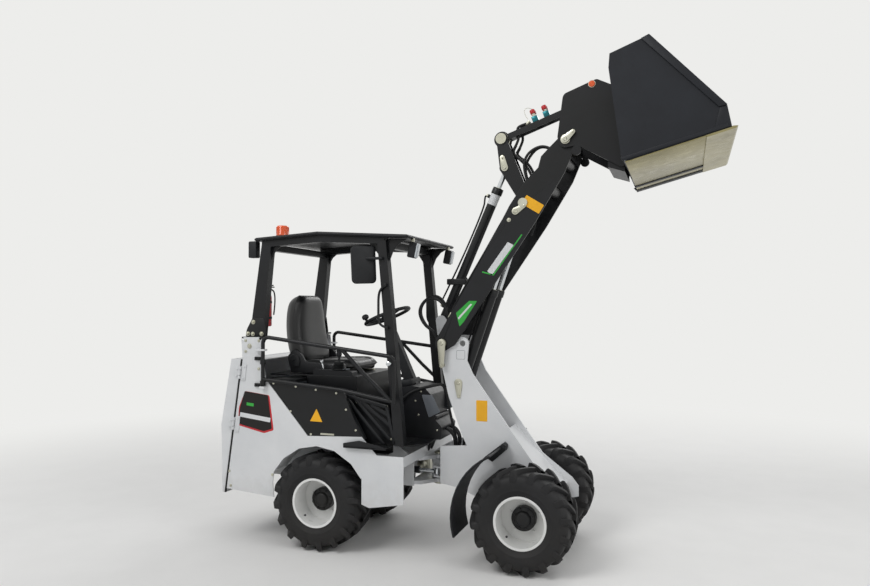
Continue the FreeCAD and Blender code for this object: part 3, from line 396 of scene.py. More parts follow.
def tyre(name, body, centre):
    shape = Shape()
    mirrored = [(r, -o) for r, o in reversed(CARCASS[:-1])]
    inner = [(150.5, -124), (150.5, 124)]
    shape.lathe(centre, (0, 1, 0), CARCASS + mirrored + inner + CARCASS[:1], steps=96)
    for hand, offset in ((1, 0.0), (-1, 0.5)):
        for i in range(LUGS):
            start = (i + offset) * math.tau / LUGS
            first = [shape.bm.verts.new(p) for p in lug_corners(LUG_STATIONS[0], start, hand, centre)]
            face = shape.bm.faces.new(first)
            made = list(first)
            for station in LUG_STATIONS[1:]:
                grown = bmesh.ops.extrude_face_region(shape.bm, geom=[face])["geom"]
                bmesh.ops.delete(shape.bm, geom=[face], context="FACES_ONLY")
                ring = [v for v in grown if isinstance(v, bmesh.types.BMVert)]
                face = next(f for f in grown if isinstance(f, bmesh.types.BMFace))
                corners = lug_corners(station, start, hand, centre)
                for vert, corner in zip(sorted_like(ring, made[-4:]), corners):
                    vert.co = corner
                made += sorted_like(ring, made[-4:])
    piece = shape.piece(name, body, tyre_rubber, "tyre_rubber", smooth=32)
    soften = piece.modifiers.new("moulded_edges", "BEVEL")
    soften.width = 2.2 * MM
    soften.segments = 2
    soften.limit_method = "ANGLE"
    soften.angle_limit = math.radians(40)
    return piece


def sorted_like(ring, previous):
    """The vertices of a new ring in the order of the ring that each one grew from."""
    return [next(v for v in ring if any(e.other_vert(v) is p for e in v.link_edges)) for p in previous]


for end, sign in (("front", 1), ("rear", -1)):
    for side, hand in SIDES.items():
        node = "tyre_%s_%s" % (end, side)
        body = "wheel_%s_%s" % (end, side)
        centre = (AXLE_X * sign, WHEEL_Y * hand, AXLE_HEIGHT)
        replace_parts(tyre("tread_%s_%s" % (end, side), body, centre), node)
        out = Vector((0, hand, 0))
        hub = Shape()
        middle = Vector((centre[0], hand * 379, AXLE_HEIGHT))
        hub.lathe(middle, out, [
            (0, 66), (34, 66), (40, 64), (46, 58), (50, 48), (70, 44), (75, 40), (76, 20), (76, -6), (84, -8), (84, -20),
            (0, -20)], steps=48)
        for i in range(8):
            angle = i * math.tau / 8 + 0.3
            hub.bolt(middle + Vector((math.cos(angle) * 61, 45 * hand, math.sin(angle) * 61)), out, 13)
        hub.piece("hub_%s_%s" % (end, side), body, black_paint, "black_paint")
        nuts = Shape()
        for i in range(5):
            angle = i * math.tau / 5 + 0.3
            nuts.bolt(middle + Vector((math.cos(angle) * 96, 0, math.sin(angle) * 96)), out, 17)
        nuts.piece("wheel_nuts_%s_%s" % (end, side), body, rim_paint, "rim_paint")
        valve = Shape()
        spot = Vector((centre[0] - 84, hand * 500, AXLE_HEIGHT - 92))
        valve.rod(spot, spot + Vector((8, hand * 22, 6)), 4.5, 4, edge=0.6)
        valve.rod(spot + Vector((-3, hand * -9, -3)), spot, 7, 4.5)
        valve.piece("tyre_valve_%s_%s" % (end, side), body, black_plastic, "black_plastic")


# Seat: foam under vinyl, with side bolsters and a sewn centre panel


def pad(name, node, place, across, up, crown, back, half_widths, bolster, channels, rows=64):
    """A cushion over a grid. place(v) gives the middle of its back face at v from 0 to 1, across and
    up its directions, half_widths the half width at v, and crown and back the thickness of front and back."""
    bm = bmesh.new()
    bmesh.ops.create_grid(bm, x_segments=rows, y_segments=rows, size=1.0)
    front = list(bm.verts)
    copied = bmesh.ops.duplicate(bm, geom=bm.verts[:] + bm.edges[:] + bm.faces[:])["geom"]
    behind = [v for v in copied if isinstance(v, bmesh.types.BMVert)]
    rims = [[e for e in group if e.is_boundary] for group in (
        [e for e in bm.edges if e not in set(copied)], [e for e in copied if isinstance(e, bmesh.types.BMEdge)])]
    normal = Vector(across).cross(Vector(up)).normalized()
    for verts, sign in ((front, 1), (behind, -1)):
        for vert in verts:
            u, v = vert.co.x, (vert.co.y + 1) / 2
            edge_u, edge_v = 1 - abs(u) ** 5, 1 - abs(2 * v - 1) ** 8
            rise = (max(edge_u, 0) * max(edge_v, 0)) ** 0.5
            squeeze = (1 - 0.10 * abs(2 * v - 1) ** 3)
            height = rise * (crown if sign > 0 else back)
            if sign > 0:
                height += rise * bolster * math.exp(-((abs(u) - 0.78) / 0.17) ** 2)
                height -= rise * 9 * math.exp(-((abs(u) - 0.56) / 0.022) ** 2)
                if abs(u) < 0.56:
                    for channel in channels:
                        height -= rise * 6 * math.exp(-((v - channel) / 0.011) ** 2)
            width = half_widths(v) * squeeze
            spot = place(v) + Vector(across) * (u * width) + normal * (sign * height)
            vert.co = at(*spot)
    bmesh.ops.bridge_loops(bm, edges=rims[0] + rims[1])
    bmesh.ops.remove_doubles(bm, verts=bm.verts, dist=0.0004)
    bmesh.ops.recalc_face_normals(bm, faces=bm.faces)
    mesh = bpy.data.meshes.new(name)
    bm.to_mesh(mesh)
    bm.free()
    piece = settle(mesh, name, "rear", seat_vinyl, smooth=60, subdivide=1)
    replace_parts(piece, node)
    return piece


def back_middle(v):
    bottom, top = Vector((-976, 0, 1196)), Vector((-1032, 0, 1680))
    return bottom.lerp(top, v) + Vector((-22 * math.sin(math.pi * v), 0, 0))


def back_half(v):
    return 228 - 66 * v ** 2.6 - 26 * max(0, (v - 0.88) / 0.12) ** 2


pad("seat_back_pad", "seat_back", back_middle, (0, -1, 0), (-0.12, 0, 0.99), 62, 62, back_half, 34, (0.2, 0.4))
pad("seat_cushion_pad", "seat_cushion", lambda v: Vector((-985 + 435 * v, 0, 1168 + 16 * v)), (0, -1, 0),
    (-1, 0, -0.04), -42, -34, lambda v: 230 - 14 * v ** 4, -16, (0.42, 0.66, 0.84))

# Rear body: seams, hinges, lock, blank badge and labels


def label(name, body, material, outline, y, hand, slot="white_paint", corner=5, gauge=0.7):
    """A blank vinyl label on a face of constant y that looks towards hand."""
    shape = Shape()
    shape.sheet(outline, y - hand * 0.3, y + hand * gauge, corner=corner)
    return shape.piece(name, body, material, slot)


def strip(points, width):
    """The outline of a straight strip between two points, that wide."""
    (x0, z0), (x1, z1) = points
    length = math.hypot(x1 - x0, z1 - z0)
    nx, nz = -(z1 - z0) / length * width / 2, (x1 - x0) / length * width / 2
    return [(x0 + nx, z0 + nz), (x1 + nx, z1 + nz), (x1 - nx, z1 - nz), (x0 - nx, z0 - nz)]


for side, hand in SIDES.items():
    face = 500 * hand
    seal = Shape()
    seal.rod((-1257, face - hand * 3, 1238), (-1384, face - hand * 3, 324), 8, sides=14)
    seal.piece("door_seal_" + side, "rear", hose_rubber, "black_plastic")
    label("badge_edge_" + side, "rear", label_red, [
        (-1229, 1023), (-1038, 1000), (-1004, 768), (-1078, 744), (-1285, 788), (-1277, 911)], face, hand,
        "red_paint", 10, 0.5)
    label("badge_face_" + side, "rear", label_black, [
        (-1232, 1022), (-1048, 1000), (-1018, 776), (-1082, 757), (-1281, 798), (-1270, 908)], face, hand,
        "black_paint", 8, 1.0)
    label("badge_stripe_" + side, "rear", label_green, strip([(-1216, 936), (-1160, 930)], 20), face, hand,
          "white_paint", 2, 1.4)
    label("badge_band_" + side, "rear", label_white, strip([(-1268, 862), (-1030, 834)], 30), face, hand,
          "white_paint", 4, 1.4)
    label("rear_label_" + side, "rear", label_white, [
        (-1217, 1218), (-1217, 1269), (-1173, 1265), (-1173, 1214)], face, hand)
    lock = Shape()
    lock.lathe((-1195, face, 1329), (0, hand, 0), [
        (0, -1), (17, -1), (17, 3), (15, 5), (11, 5), (10, 9), (0, 10)], steps=28)
    lock.piece("lock_" + side, "rear", zinc, "zinc_plate")
    feet = Shape()
    feet.sheet([(-1258, 1389), (-1250, 1440), (-1204, 1520), (-1112, 1520), (-1094, 1389)],
               450 * hand, 455 * hand, edge=1, corner=14)
    feet.block((-1262, 448 * hand, 1380), (-1090, 496 * hand, 1392), 2)
    feet.piece("post_foot_" + side, "rear", black_paint, "black_paint")
    studs = Shape()
    for x, z in ((-1238, 1412), (-1200, 1410), (-1130, 1412), (-1196, 1492)):
        studs.bolt((x, 455 * hand, z), (0, hand, 0), 16)
    for x, z in ((-1226, 1366), (-1226, 1292), (-1122, 1366), (-1122, 1176)):
        studs.bolt((x, face, z), (0, hand, 0), 11)
    for x, z in ((-1012, 470), (-1340, 372), (-1352, 470)):
        studs.bolt((x, face, z), (0, hand, 0), 10)
    studs.piece("rear_bolts_" + side, "rear", zinc, "zinc_plate")
    # Gate hinge: bracket on the body, sleeve on the gate
    bracket = Shape()
    for z in (1246, 1068):
        bracket.block((-1150, face, z - 12) if hand > 0 else (-1150, face - 12, z - 12),
                      (-1104, face + 12, z + 12) if hand > 0 else (-1104, face, z + 12), 3)
        bracket.bolt((-1138, face + 12 * hand, z), (0, hand, 0), 10, washer=False)
        bracket.bolt((-1116, face + 12 * hand, z), (0, hand, 0), 10, washer=False)
    bracket.piece("gate_bracket_" + side, "rear", black_paint, "black_paint")
    sleeve = Shape()
    for z in (1226, 1084):
        sleeve.lathe((-1078, 519 * hand, z), (0, 0, 1), [(12, -16), (18.5, -16), (19, -14), (19, 14), (18.5, 16), (12, 16)])
    sleeve.piece("gate_sleeves_" + side, "gate_" + side, black_paint, "black_paint")
    knob = Shape()
    knob.lathe((-150, 519 * hand, 1240), (0, hand, 0), [(0, 8), (6, 8), (6, 18), (14, 20), (17, 26), (15, 34), (9, 38), (0, 39)])
    knob.piece("gate_knob_" + side, "gate_" + side, chrome, "chrome_rod")

hinge = Shape()
for share in (0.52, 0.9):
    x, z = -1386 + 131 * share, 311 + 929 * share
    hinge.sheet([(x - 40, z - 38), (x - 8, z - 38), (x + 1, z + 38), (x - 31, z + 38)], -506, -500, 1.5, 5)
    for dz in (-22, 22):
        hinge.bolt((x - 24 + dz * 0.14, -506, z + dz), (0, -1, 0), 9)
hinge.piece("door_hinge_leaves", "rear_door", white_paint, "white_paint")
leaves = Shape()
for share in (0.52, 0.9):
    x, z = -1386 + 131 * share, 311 + 929 * share
    leaves.sheet([(x + 4, z - 56), (x + 40, z - 56), (x + 52, z + 56), (x + 16, z + 56)], -505, -500, 1.5, 6)
    for dz in (-40, 40):
        leaves.bolt((x + 28 + dz * 0.14, -505, z + dz), (0, -1, 0), 9)
leaves.piece("body_hinge_leaves", "rear", white_paint, "white_paint")

# Rear door: top flange, handle, grille slots, lamps and a blank plate
flange = Shape()
flange.block((-1339, -494, 1234), (-1263, 494, 1239), 1.2)
flange.piece("door_top_flange", "rear_door", white_paint, "white_paint")
door = Shape()
for row in range(9):
    z = 880 + row * 30
    x = -1419 + (z - 788) * (79 / 452) - 1
    door.block((x - 5, -250, z), (x + 4, 250, z + 11), 2.4)
door.piece("door_louvres", "rear_door", white_paint, "white_paint")
handle = Shape()
handle.block((-1412, 300, 820), (-1404, 372, 900), 3)
handle.rod((-1416, 318, 838), (-1416, 318, 884), 7, edge=2)
handle.lathe((-1412, 350, 860), (-1, 0, 0), [(0, 0), (13, 0), (13, 4), (10, 6), (0, 6)])
handle.piece("door_latch", "rear_door", black_plastic, "black_plastic")
for side, hand in SIDES.items():
    lamp_body = Shape()
    low, high = sorted((392 * hand, 452 * hand))
    lamp_body.block((-1424, low, 560), (-1404, high, 700), 5)
    lamp_body.piece("tail_lamp_case_" + side, "rear_door", black_plastic, "black_plastic")
    for name, finish_of, z0, z1 in (("stop", red_plastic, 566, 628), ("turn", amber_lens, 632, 694)):
        lens = Shape()
        lens.block((-1429, low + 5, z0), (-1420, high - 5, z1), 4)
        lens.piece("%s_lens_%s" % (name, side), "rear_door", finish_of,
                   "red_paint" if name == "stop" else "amber_lens")
plate = Shape()
plate.block((-1416, -120, 560), (-1409, 120, 660), 2)
plate.piece("blank_rear_plate", "rear_door", label_white, "white_paint")

def corner_disc(x, z, radius, free_from, free_to):
    """The outline of a disc for a plate whose solid lacks the round of its corner.

    It laps over the plate all round, except where the corner is free, between two angles.
    """
    lap = 2.5
    turns = [(math.radians(a), radius if free_from < a < free_to else radius + lap) for a in range(0, 360, 10)]
    return [(x + r * math.cos(a), z + r * math.sin(a)) for a, r in turns]


# Side panels: bolts, a blank triangle, louvres ahead of them and the step
for side, hand in SIDES.items():
    face = 495 * hand
    corner = Shape()
    corner.sheet(corner_disc(-512.2, 1022.9, 30, 24, 84), 475 * hand, 495.4 * hand)
    corner.piece("side_panel_corner_" + side, "rear", black_paint, "black_paint")
    label("side_triangle_" + side, "rear", label_yellow, [(-684, 926), (-641, 841), (-731, 843)], face, hand,
          "amber_lens", 4)
    slot = Shape()
    slot.block((-654, min(face, face + hand * 1.2), 757), (-555, max(face, face + hand * 1.2), 769), 0.5)
    slot.piece("side_slot_" + side, "rear", zinc, "zinc_plate")
    buttons = Shape()
    for x, z in ((-1010, 1082), (-840, 1066), (-690, 1050), (-540, 1034), (-726, 756), (-400, 800), (-470, 930), (-880, 900)):
        buttons.lathe((x, face, z), (0, hand, 0), [(0, -1), (8, -1), (8, 1), (6, 3.4), (0, 4)], steps=18)
    for x, z in ((-222, 950), (-205, 840), (-190, 740), (-440, 968)):
        buttons.lathe((x, 401 * hand, z), (0, hand, 0), [(0, -1), (8, -1), (8, 1), (6, 3.4), (0, 4)], steps=18)
    buttons.piece("panel_bolts_" + side, "rear", zinc, "zinc_plate")
    louvres = Shape()
    for start, end in (((-500, 1009), (-227, 714)), ((-442, 1012), (-182, 747)), ((-385, 983), (-177, 829)),
                       ((-317, 965), (-182, 890))):
        louvres.sheet(strip([start, end], 22), 436 * hand, 448 * hand, edge=4)
    louvres.sheet(strip([(-505, 1018), (-205, 952)], 18), 430 * hand, 450 * hand, edge=3)
    louvres.sheet(strip([(-205, 952), (-150, 716)], 20), 430 * hand, 450 * hand, edge=3)
    louvres.sheet(strip([(-505, 1018), (-345, 742)], 16), 452 * hand, 490 * hand, edge=3)
    louvres.piece("side_louvres_" + side, "rear", black_plastic, "black_plastic")
    step = Shape()
    step.sheet([(-474, 396 * hand), (-176, 396 * hand), (-176, 506 * hand), (-240, 528 * hand), (-474, 528 * hand)],
               696, 702, 1.5, 10, lying=True)
    step.sheet([(-474, 690), (-176, 690), (-176, 702), (-220, 716), (-360, 742), (-474, 720)], 524 * hand, 528 * hand,
               1, 6)
    for row in range(5):
        for column in range(13):
            x = -458 + column * 21 + (row % 2) * 10
            y = (418 + row * 21) * hand
            turn = Matrix.Rotation(math.radians(45 if (row + column) % 2 else -45), 3, "Z")
            if x < -192:
                step.block((x - 7, y - 2, 701), (x + 7, y + 2, 703.6), 0.8, turn)
    step.piece("step_tray_" + side, "rear", black_paint, "black_paint")

# Operator's place
mat = Shape()
mat.block((-464, -386, 707), (-256, 386, 712), 1.5)
for side, hand in SIDES.items():
    low, high = sorted((156 * hand, 386 * hand))
    mat.block((-258, low, 707), (-92, high, 712), 1.5)
for row in range(14):
    x = -452 + row * 14.5
    mat.block((x, -374, 711), (x + 6, 374, 714), 1.2)
mat.piece("floor_mat", "rear", hose_rubber, "black_plastic")
for side, hand in SIDES.items():
    cover = Shape()
    cover.sheet([(-1049, 1244), (-998, 1302), (-933, 1262), (-905, 1214), (-700, 1196), (-600, 1176), (-600, 1136),
                 (-1016, 1132)], 236 * hand, 258 * hand, 5, 18)
    cover.lathe((-992, 258 * hand, 1240), (0, hand, 0), [(0, -2), (24, -2), (24, 8), (20, 12), (0, 13)])
    cover.piece("seat_side_cover_" + side, "rear", black_plastic, "black_plastic")
    loop = hose("grab_loop_" + side, "rear", [
        (-209, 462 * hand, 1736), (-240, 462 * hand, 1715), (-256, 462 * hand, 1670), (-256, 462 * hand, 1590),
        (-256, 462 * hand, 1510), (-238, 462 * hand, 1474), (-196, 462 * hand, 1462)], 8, black_paint)
    ends = Shape()
    for x, z in ((-209, 1736), (-196, 1462)):
        ends.rod((x, 448 * hand, z), (x, 470 * hand, z), 11, edge=2)
    ends.piece("grab_loop_ends_" + side, "rear", black_paint, "black_paint")
rails = Shape()
rails.block((-990, -180, 1126), (-560, -150, 1140), 2)
rails.block((-990, 150, 1126), (-560, 180, 1140), 2)
rails.piece("seat_rails", "rear", zinc, "zinc_plate")
belt = Shape()
belt.sheet([(-1000, 1178), (-952, 1178), (-940, 1216), (-952, 1254), (-990, 1254)], -268, -262, 1.5, 8)
belt.piece("belt_buckle", "rear", black_plastic, "black_plastic")

bellows = Shape()
profile = [(48, 1168), (50, 1172), (49, 1176)]
for fold in range(5):
    z = 1178 + fold * 9.5
    profile += [(44 - fold * 3.4, z), (48 - fold * 3.6, z + 4.5)]
profile += [(36, 1222), (13, 1226), (12, 1230), (0, 1231)]
bellows.lathe((-622, -290, 0), (0, 0, 1), profile)
bellows.piece("lever_bellows", "rear", hose_rubber, "black_plastic")
grip = Shape()
grip.lathe((-622, -290, 0), (0, 0, 1), [
    (10, 1256), (14, 1258), (17, 1268), (16, 1282), (20, 1296), (20, 1308), (14, 1317), (0, 1320)])
grip.piece("lever_grip", "rear", black_plastic, "black_plastic")
small = Shape()
small.rod((-738, -296, 1168), (-752, -296, 1212), 5, edge=1)
small.lathe((-752, -296, 1212), (-0.3, 0, 0.95), [(0, -4), (8, -4), (12, 6), (12, 14), (7, 20), (0, 21)])
small.piece("throttle_lever", "rear", chrome, "chrome_rod")
switches = Shape()
for row in range(3):
    switches.block((-560 - row * 32, -318, 1171), (-540 - row * 32, -286, 1177), 2)
switches.piece("console_switches", "rear", grey_plastic, "grey_paint")

# Steering wheel
WHEEL_TILT = math.radians(22)
wheel_axis = Vector((-math.sin(WHEEL_TILT), 0, math.cos(WHEEL_TILT)))
wheel_along = Vector((math.cos(WHEEL_TILT), 0, math.sin(WHEEL_TILT)))
wheel_middle = Vector((-389, 0, 1530))
wheel = Shape()
rim = [(162 + 12.5 * math.cos(i * math.tau / 16), 12.5 * math.sin(i * math.tau / 16)) for i in range(17)]
wheel.lathe(wheel_middle, wheel_axis, rim, steps=72)
wheel.lathe(wheel_middle, wheel_axis, [(0, -24), (34, -24), (42, -14), (44, 4), (38, 14), (24, 18), (0, 19)], steps=40)
for angle in (90, 210, 330):
    way = wheel_along * math.cos(math.radians(angle)) + Vector((0, 1, 0)) * math.sin(math.radians(angle))
    wheel.rod(wheel_middle + way * 30 - wheel_axis * 8, wheel_middle + way * 156, 11, 8, sides=16)
spinner = wheel_middle + (wheel_along * -0.7 + Vector((0, -0.7, 0))) * 162
wheel.lathe(spinner, wheel_axis, [(0, 8), (9, 8), (9, 20), (21, 26), (25, 38), (22, 50), (12, 57), (0, 58)])
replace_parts(wheel.piece("steering_rim", "rear", black_plastic, "black_plastic"), "steering_wheel")
cluster = Shape()
cluster.block((-262, -96, 1046), (-168, 96, 1092), 12, Matrix.Rotation(math.radians(-14), 3, "Y"))
cluster.piece("instrument_pod", "rear", black_plastic, "black_plastic")
glass = Shape()
glass.block((-268, -80, 1062), (-256, 80, 1090), 3, Matrix.Rotation(math.radians(-14), 3, "Y"))
glass.piece("instrument_glass", "rear", grey_plastic, "grey_paint")
for side, hand in SIDES.items():
    cheek = Shape()
    cheek.sheet([(-73, 1004), (4, 1004), (60, 892), (-22, 852)], 150 * hand, 155 * hand, 1.5, 8)
    cheek.piece("dash_cheek_" + side, "rear", grey_plastic, "grey_paint")
    dots = Shape()
    for x, z in ((-232, 1020), (-80, 1024), (-232, 740), (-98, 866), (36, 770), (-120, 960)):
        dots.lathe((x, 150 * hand, z), (0, hand, 0), [(0, -1), (7, -1), (7, 1), (5, 3), (0, 3.5)], steps=16)
    dots.piece("dash_bolts_" + side, "rear", zinc, "zinc_plate")
    pedal = Shape()
    low, high = sorted((64 * hand, 138 * hand))
    pedal.block((-340, low, 782), (-332, high, 862), 3, Matrix.Rotation(math.radians(-32), 3, "Y"))
    pedal.rod((-252, 100 * hand, 730), (-330, 100 * hand, 812), 8, edge=1)
    pedal.piece("pedal_" + side, "rear", black_plastic, "black_plastic")
far_label = Shape()
far_label.sheet([(-630, 874), (-630, 964), (-499, 956), (-499, 868)], 474, 474.6, corner=5)
far_label.piece("inner_label", "rear", label_yellow, "amber_lens")

# Canopy: corner gussets, ribs on the roof, lamps, beacon, mirror and extinguisher
for side, hand in SIDES.items():
    gussets = Shape()
    for outline in (
            [(-1064, 2046), (-918, 2052), (-984, 2026), (-1038, 1986), (-1066, 1940), (-1084, 1880)],
            [(-272, 2040), (-424, 2050), (-352, 2022), (-306, 1984), (-276, 1940), (-258, 1880)],
            [(-214, 2038), (-74, 2034), (-130, 2004), (-168, 1960), (-196, 1890)]):
        gussets.sheet(outline, 416 * hand, 424 * hand, edge=1.5)
    gussets.piece("canopy_gussets_" + side, "rear", black_paint, "black_paint")
case = Shape()
case.block((-1243, -452, 1935), (-1180, -396, 2050), 8)
case.piece("rear_lamp_case", "rear", black_plastic, "black_plastic")
lens = Shape()
lens.block((-1247, -445, 1943), (-1237, -403, 2042), 4)
lens.piece("rear_lamp_lens", "rear", lamp_glass, "grey_paint")
trim = Shape()
for y in (-300, -100, 100, 300):
    for start, end in (((-1150, 2072), (-708, 2098)), ((-688, 2097), (-76, 2060))):
        trim.sheet([(start[0], start[1] - 3), (start[0], start[1] + 3), (end[0], end[1] + 3), (end[0], end[1] - 3)],
                   y - 22, y + 22, edge=2.5)
trim.piece("roof_ribs", "rear", black_paint, "black_paint")
edge = Shape()
for y in (-472, 472):
    edge.rod((-1172, y, 2058), (-698, y, 2086), 8, sides=14)
    edge.rod((-698, y, 2086), (-54, y, 2046), 8, sides=14)
for x, z in ((-1172, 2058), (-54, 2046)):
    edge.rod((x, -472, z), (x, 472, z), 8, sides=14)
edge.piece("roof_edge", "rear", black_plastic, "black_plastic")

lamps = Shape()
lenses = Shape()
brackets = Shape()
lean = Matrix.Rotation(math.radians(12), 3, "Y")
for hand in (-1, 1):
    low, high = sorted((332 * hand, 398 * hand))
    about = (-45, 365 * hand, 1970)
    lamps.block((-78, low, 1912), (-24, high, 2016), 9, lean, about)
    lenses.block((-28, low + 5, 1918), (-17, high - 5, 2010), 4, lean, about)
    brackets.block((-66, 365 * hand - 14, 2004), (-46, 365 * hand + 14, 2040), 2)
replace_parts(lamps.piece("work_lamp_cases", "rear", black_plastic, "black_plastic"), "work_lamps")
lenses.piece("work_lamp_lenses", "rear", lamp_glass, "grey_paint")
brackets.piece("work_lamp_brackets", "rear", zinc, "zinc_plate")

dome = Shape()
dome.lathe((-1050, -320, 2080.3), (0, 0, 1), [(0, 13), (45, 13), (45, 22), (43, 26), (41, 76), (37, 82), (30, 84), (0, 84)], 40)
for i in range(24):
    angle = i * math.tau / 24
    spot = Vector((-1050 + 42.6 * math.cos(angle), -320 + 42.6 * math.sin(angle), 2108))
    dome.rod(spot, spot + Vector((0, 0, 46)), 1.6, sides=6)
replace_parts(dome.piece("beacon_dome", "rear", amber_lens, "amber_lens"), "beacon")
foot = Shape()
foot.lathe((-1050, -320, 2080.3), (0, 0, 1), [(0, 0), (49, 0), (49, 9), (46, 14), (0, 14)], 40)
foot.piece("beacon_foot", "rear", black_plastic, "black_plastic")

eighth = Matrix.Rotation(math.radians(45), 3, "Z")
shell = Shape()
shell.sheet([(-446, 1990), (-278, 1994), (-268, 1750), (-434, 1744)], -489, -459, edge=9, corner=30)
bmesh.ops.rotate(shell.bm, cent=at(-358, -474, 1869), matrix=eighth, verts=shell.bm.verts)
shell.block((-352, -478, 1901), (-226, -451, 1919), 5)
shell.lathe((-342, -458, 1910), (1, 0, 0), [(0, -8), (17, -8), (20, 0), (17, 8), (0, 8)])
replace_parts(shell.piece("mirror_shell", "rear", black_plastic, "black_plastic"), "mirrors")
glass = Shape()
glass.sheet([(-438, 1982), (-287, 1986), (-277, 1758), (-426, 1752)], -461, -457, edge=1, corner=24)
bmesh.ops.rotate(glass.bm, cent=at(-358, -474, 1869), matrix=eighth, verts=glass.bm.verts)
glass.piece("mirror_glass_face", "rear", mirror_glass, "chrome_rod")

bottle = Shape()
bottle.lathe((-1160, -351.7, 1460), (0, 0, 1), [
    (0, 2), (30, 0), (37, 4), (38, 10), (38, 205), (34, 222), (22, 236), (13, 242), (13, 250), (0, 250)], 40)
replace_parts(bottle.piece("extinguisher_bottle", "rear", red_paint, "red_paint"), "fire_extinguisher")
valve = Shape()
valve.rod((-1160, -351.7, 1708), (-1160, -351.7, 1736), 11, edge=1.5)
valve.block((-1168, -358, 1730), (-1096, -345, 1738), 2)
valve.block((-1166, -358, 1742), (-1104, -345, 1750), 2)
valve.lathe((-1160, -366, 1722), (0, -1, 0), [(0, 0), (9, 0), (9, 6), (0, 7)])
valve.piece("extinguisher_valve", "rear", black_plastic, "black_plastic")
hose("extinguisher_hose", "rear", [
    (-1150, -344, 1722), (-1120, -330, 1720), (-1108, -322, 1680), (-1112, -318, 1600), (-1122, -316, 1540)], 5)
band = Shape()
for z in (1520, 1630):
    band.lathe((-1160, -351.7, z), (0, 0, 1), [(37, -8), (40, -8), (40, 8), (37, 8)])
    band.block((-1176, -396, z - 10), (-1144, -384, z + 10), 2)
band.piece("extinguisher_bands", "rear", black_paint, "black_paint")

# Front frame: pin keepers, labels, fender lips and the parts at the articulation


def keeper(shape, x0, z0, x1, z1, y, hand, r0=24, r1=15, gauge=7):
    """A pear-shaped keeper plate over a pin's end, its own bolt at the narrow end."""
    low, high = y, y + hand * gauge
    length = math.hypot(x1 - x0, z1 - z0)
    ux, uz = (x1 - x0) / length, (z1 - z0) / length
    corners = []
    for i in range(9):
        angle = math.pi / 2 + math.pi * i / 8
        corners.append((x0 + r0 * (ux * math.cos(angle) - uz * math.sin(angle)),
                        z0 + r0 * (uz * math.cos(angle) + ux * math.sin(angle))))
    for i in range(9):
        angle = -math.pi / 2 + math.pi * i / 8
        corners.append((x1 + r1 * (ux * math.cos(angle) - uz * math.sin(angle)),
                        z1 + r1 * (uz * math.cos(angle) + ux * math.sin(angle))))
    shape.sheet(corners, low, high, edge=1)
    shape.lathe((x0, high, z0), (0, hand, 0), [(0, -3), (13, -3), (13, 2), (10, 5), (5, 5), (4, 3), (0, 3)], steps=24)
    shape.bolt((x1, high, z1), (0, hand, 0), 13, washer=False)


for side, hand in SIDES.items():
    keepers = Shape()
    keeper(keepers, 87, 1354, 88, 1208, 206 * hand, hand, 28, 16)
    keeper(keepers, 193, 1094, 196, 1006, 171 * hand, hand, 28, 13)
    keepers.rod((88, 170 * hand, 1208), (88, 208 * hand, 1208), 12, edge=1)
    keepers.piece("tower_keepers_" + side, "front", zinc, "zinc_plate")
    label("tower_label_edge_" + side, "front", grey_plastic, [(179, 1250), (179, 1309), (238, 1309), (238, 1250)],
          171 * hand, hand, "grey_paint", 6, 0.4)
    label("tower_label_" + side, "front", label_white, [(181, 1252), (181, 1307), (236, 1307), (236, 1252)],
          171 * hand, hand)
    label("tower_yellow_" + side, "front", label_yellow, [(315, 849), (315, 985), (390, 985), (390, 849)],
          171 * hand, hand, "amber_lens")
    weld = Shape()
    weld.rod((500, 168 * hand, 790), (860, 168 * hand, 420), 3, sides=8)
    weld.piece("tower_weld_" + side, "front", white_paint, "white_paint")
    lip = Shape()
    points = [(681 + 424 * math.cos(math.radians(a)), 316 + 424 * math.sin(math.radians(a))) for a in range(196, 115, -8)]
    for (x0, z0), (x1, z1) in zip(points, points[1:]):
        lip.rod((x0, 534 * hand, z0), (x1, 534 * hand, z1), 7, sides=12)
        lip.rod((x0, 241 * hand, z0), (x1, 241 * hand, z1), 7, sides=12)
    for x, z in (points[0], points[-1]):
        lip.rod((x, 241 * hand, z), (x, 534 * hand, z), 7, sides=12)
    for x, z in ((681 - 165, 316 + 382), (681 - 205, 316 + 352)):
        lip.bolt((x, 242 * hand, z), (0, hand, 0), 13)
    lip.piece("fender_lip_" + side, "front", black_plastic, "black_plastic")
    axle = Shape()
    axle.lathe((681, 240 * hand, 316), (0, hand, 0), [(0, 0), (78, 0), (78, 14), (64, 22), (58, 60), (70, 78), (70, 92), (0, 92)])
    axle.piece("front_drum_" + side, "front", black_paint, "black_paint")
    axle = Shape()
    axle.lathe((-681, 240 * hand, 316), (0, hand, 0), [(0, 0), (78, 0), (78, 14), (64, 22), (58, 60), (70, 78), (70, 92), (0, 92)])
    axle.piece("rear_drum_" + side, "rear", black_paint, "black_paint")

valves = Shape()
valves.block((78, -112, 442), (176, 112, 560), 6)
for column in range(4):
    y = -84 + column * 56
    valves.rod((127, y, 556), (127, y, 590), 14, edge=2)
    valves.bolt((127, y, 590), (0, 0, 1), 18, washer=False)
valves.piece("valve_block", "front", grey_plastic, "grey_paint")
motor = Shape()
motor.block((-184, 60, 440), (-96, 140, 548), 8)
motor.lathe((-140, 60, 494), (0, -1, 0), [(0, 0), (34, 0), (34, 28), (24, 34), (0, 34)])
motor.piece("transfer_block", "rear", zinc, "zinc_plate")
pivots = Shape()
for z, way in ((590, 1), (394, -1)):
    pivots.lathe((0, 0, z), (0, 0, way), [(0, 0), (34, 0), (34, 8), (26, 12), (12, 12), (10, 16), (0, 16)])
pivots.piece("pivot_caps", "rear", zinc, "zinc_plate")

# Boom: labels, stripe, hoses along it, keepers
c, s = math.cos(BOOM_ANGLE), math.sin(BOOM_ANGLE)


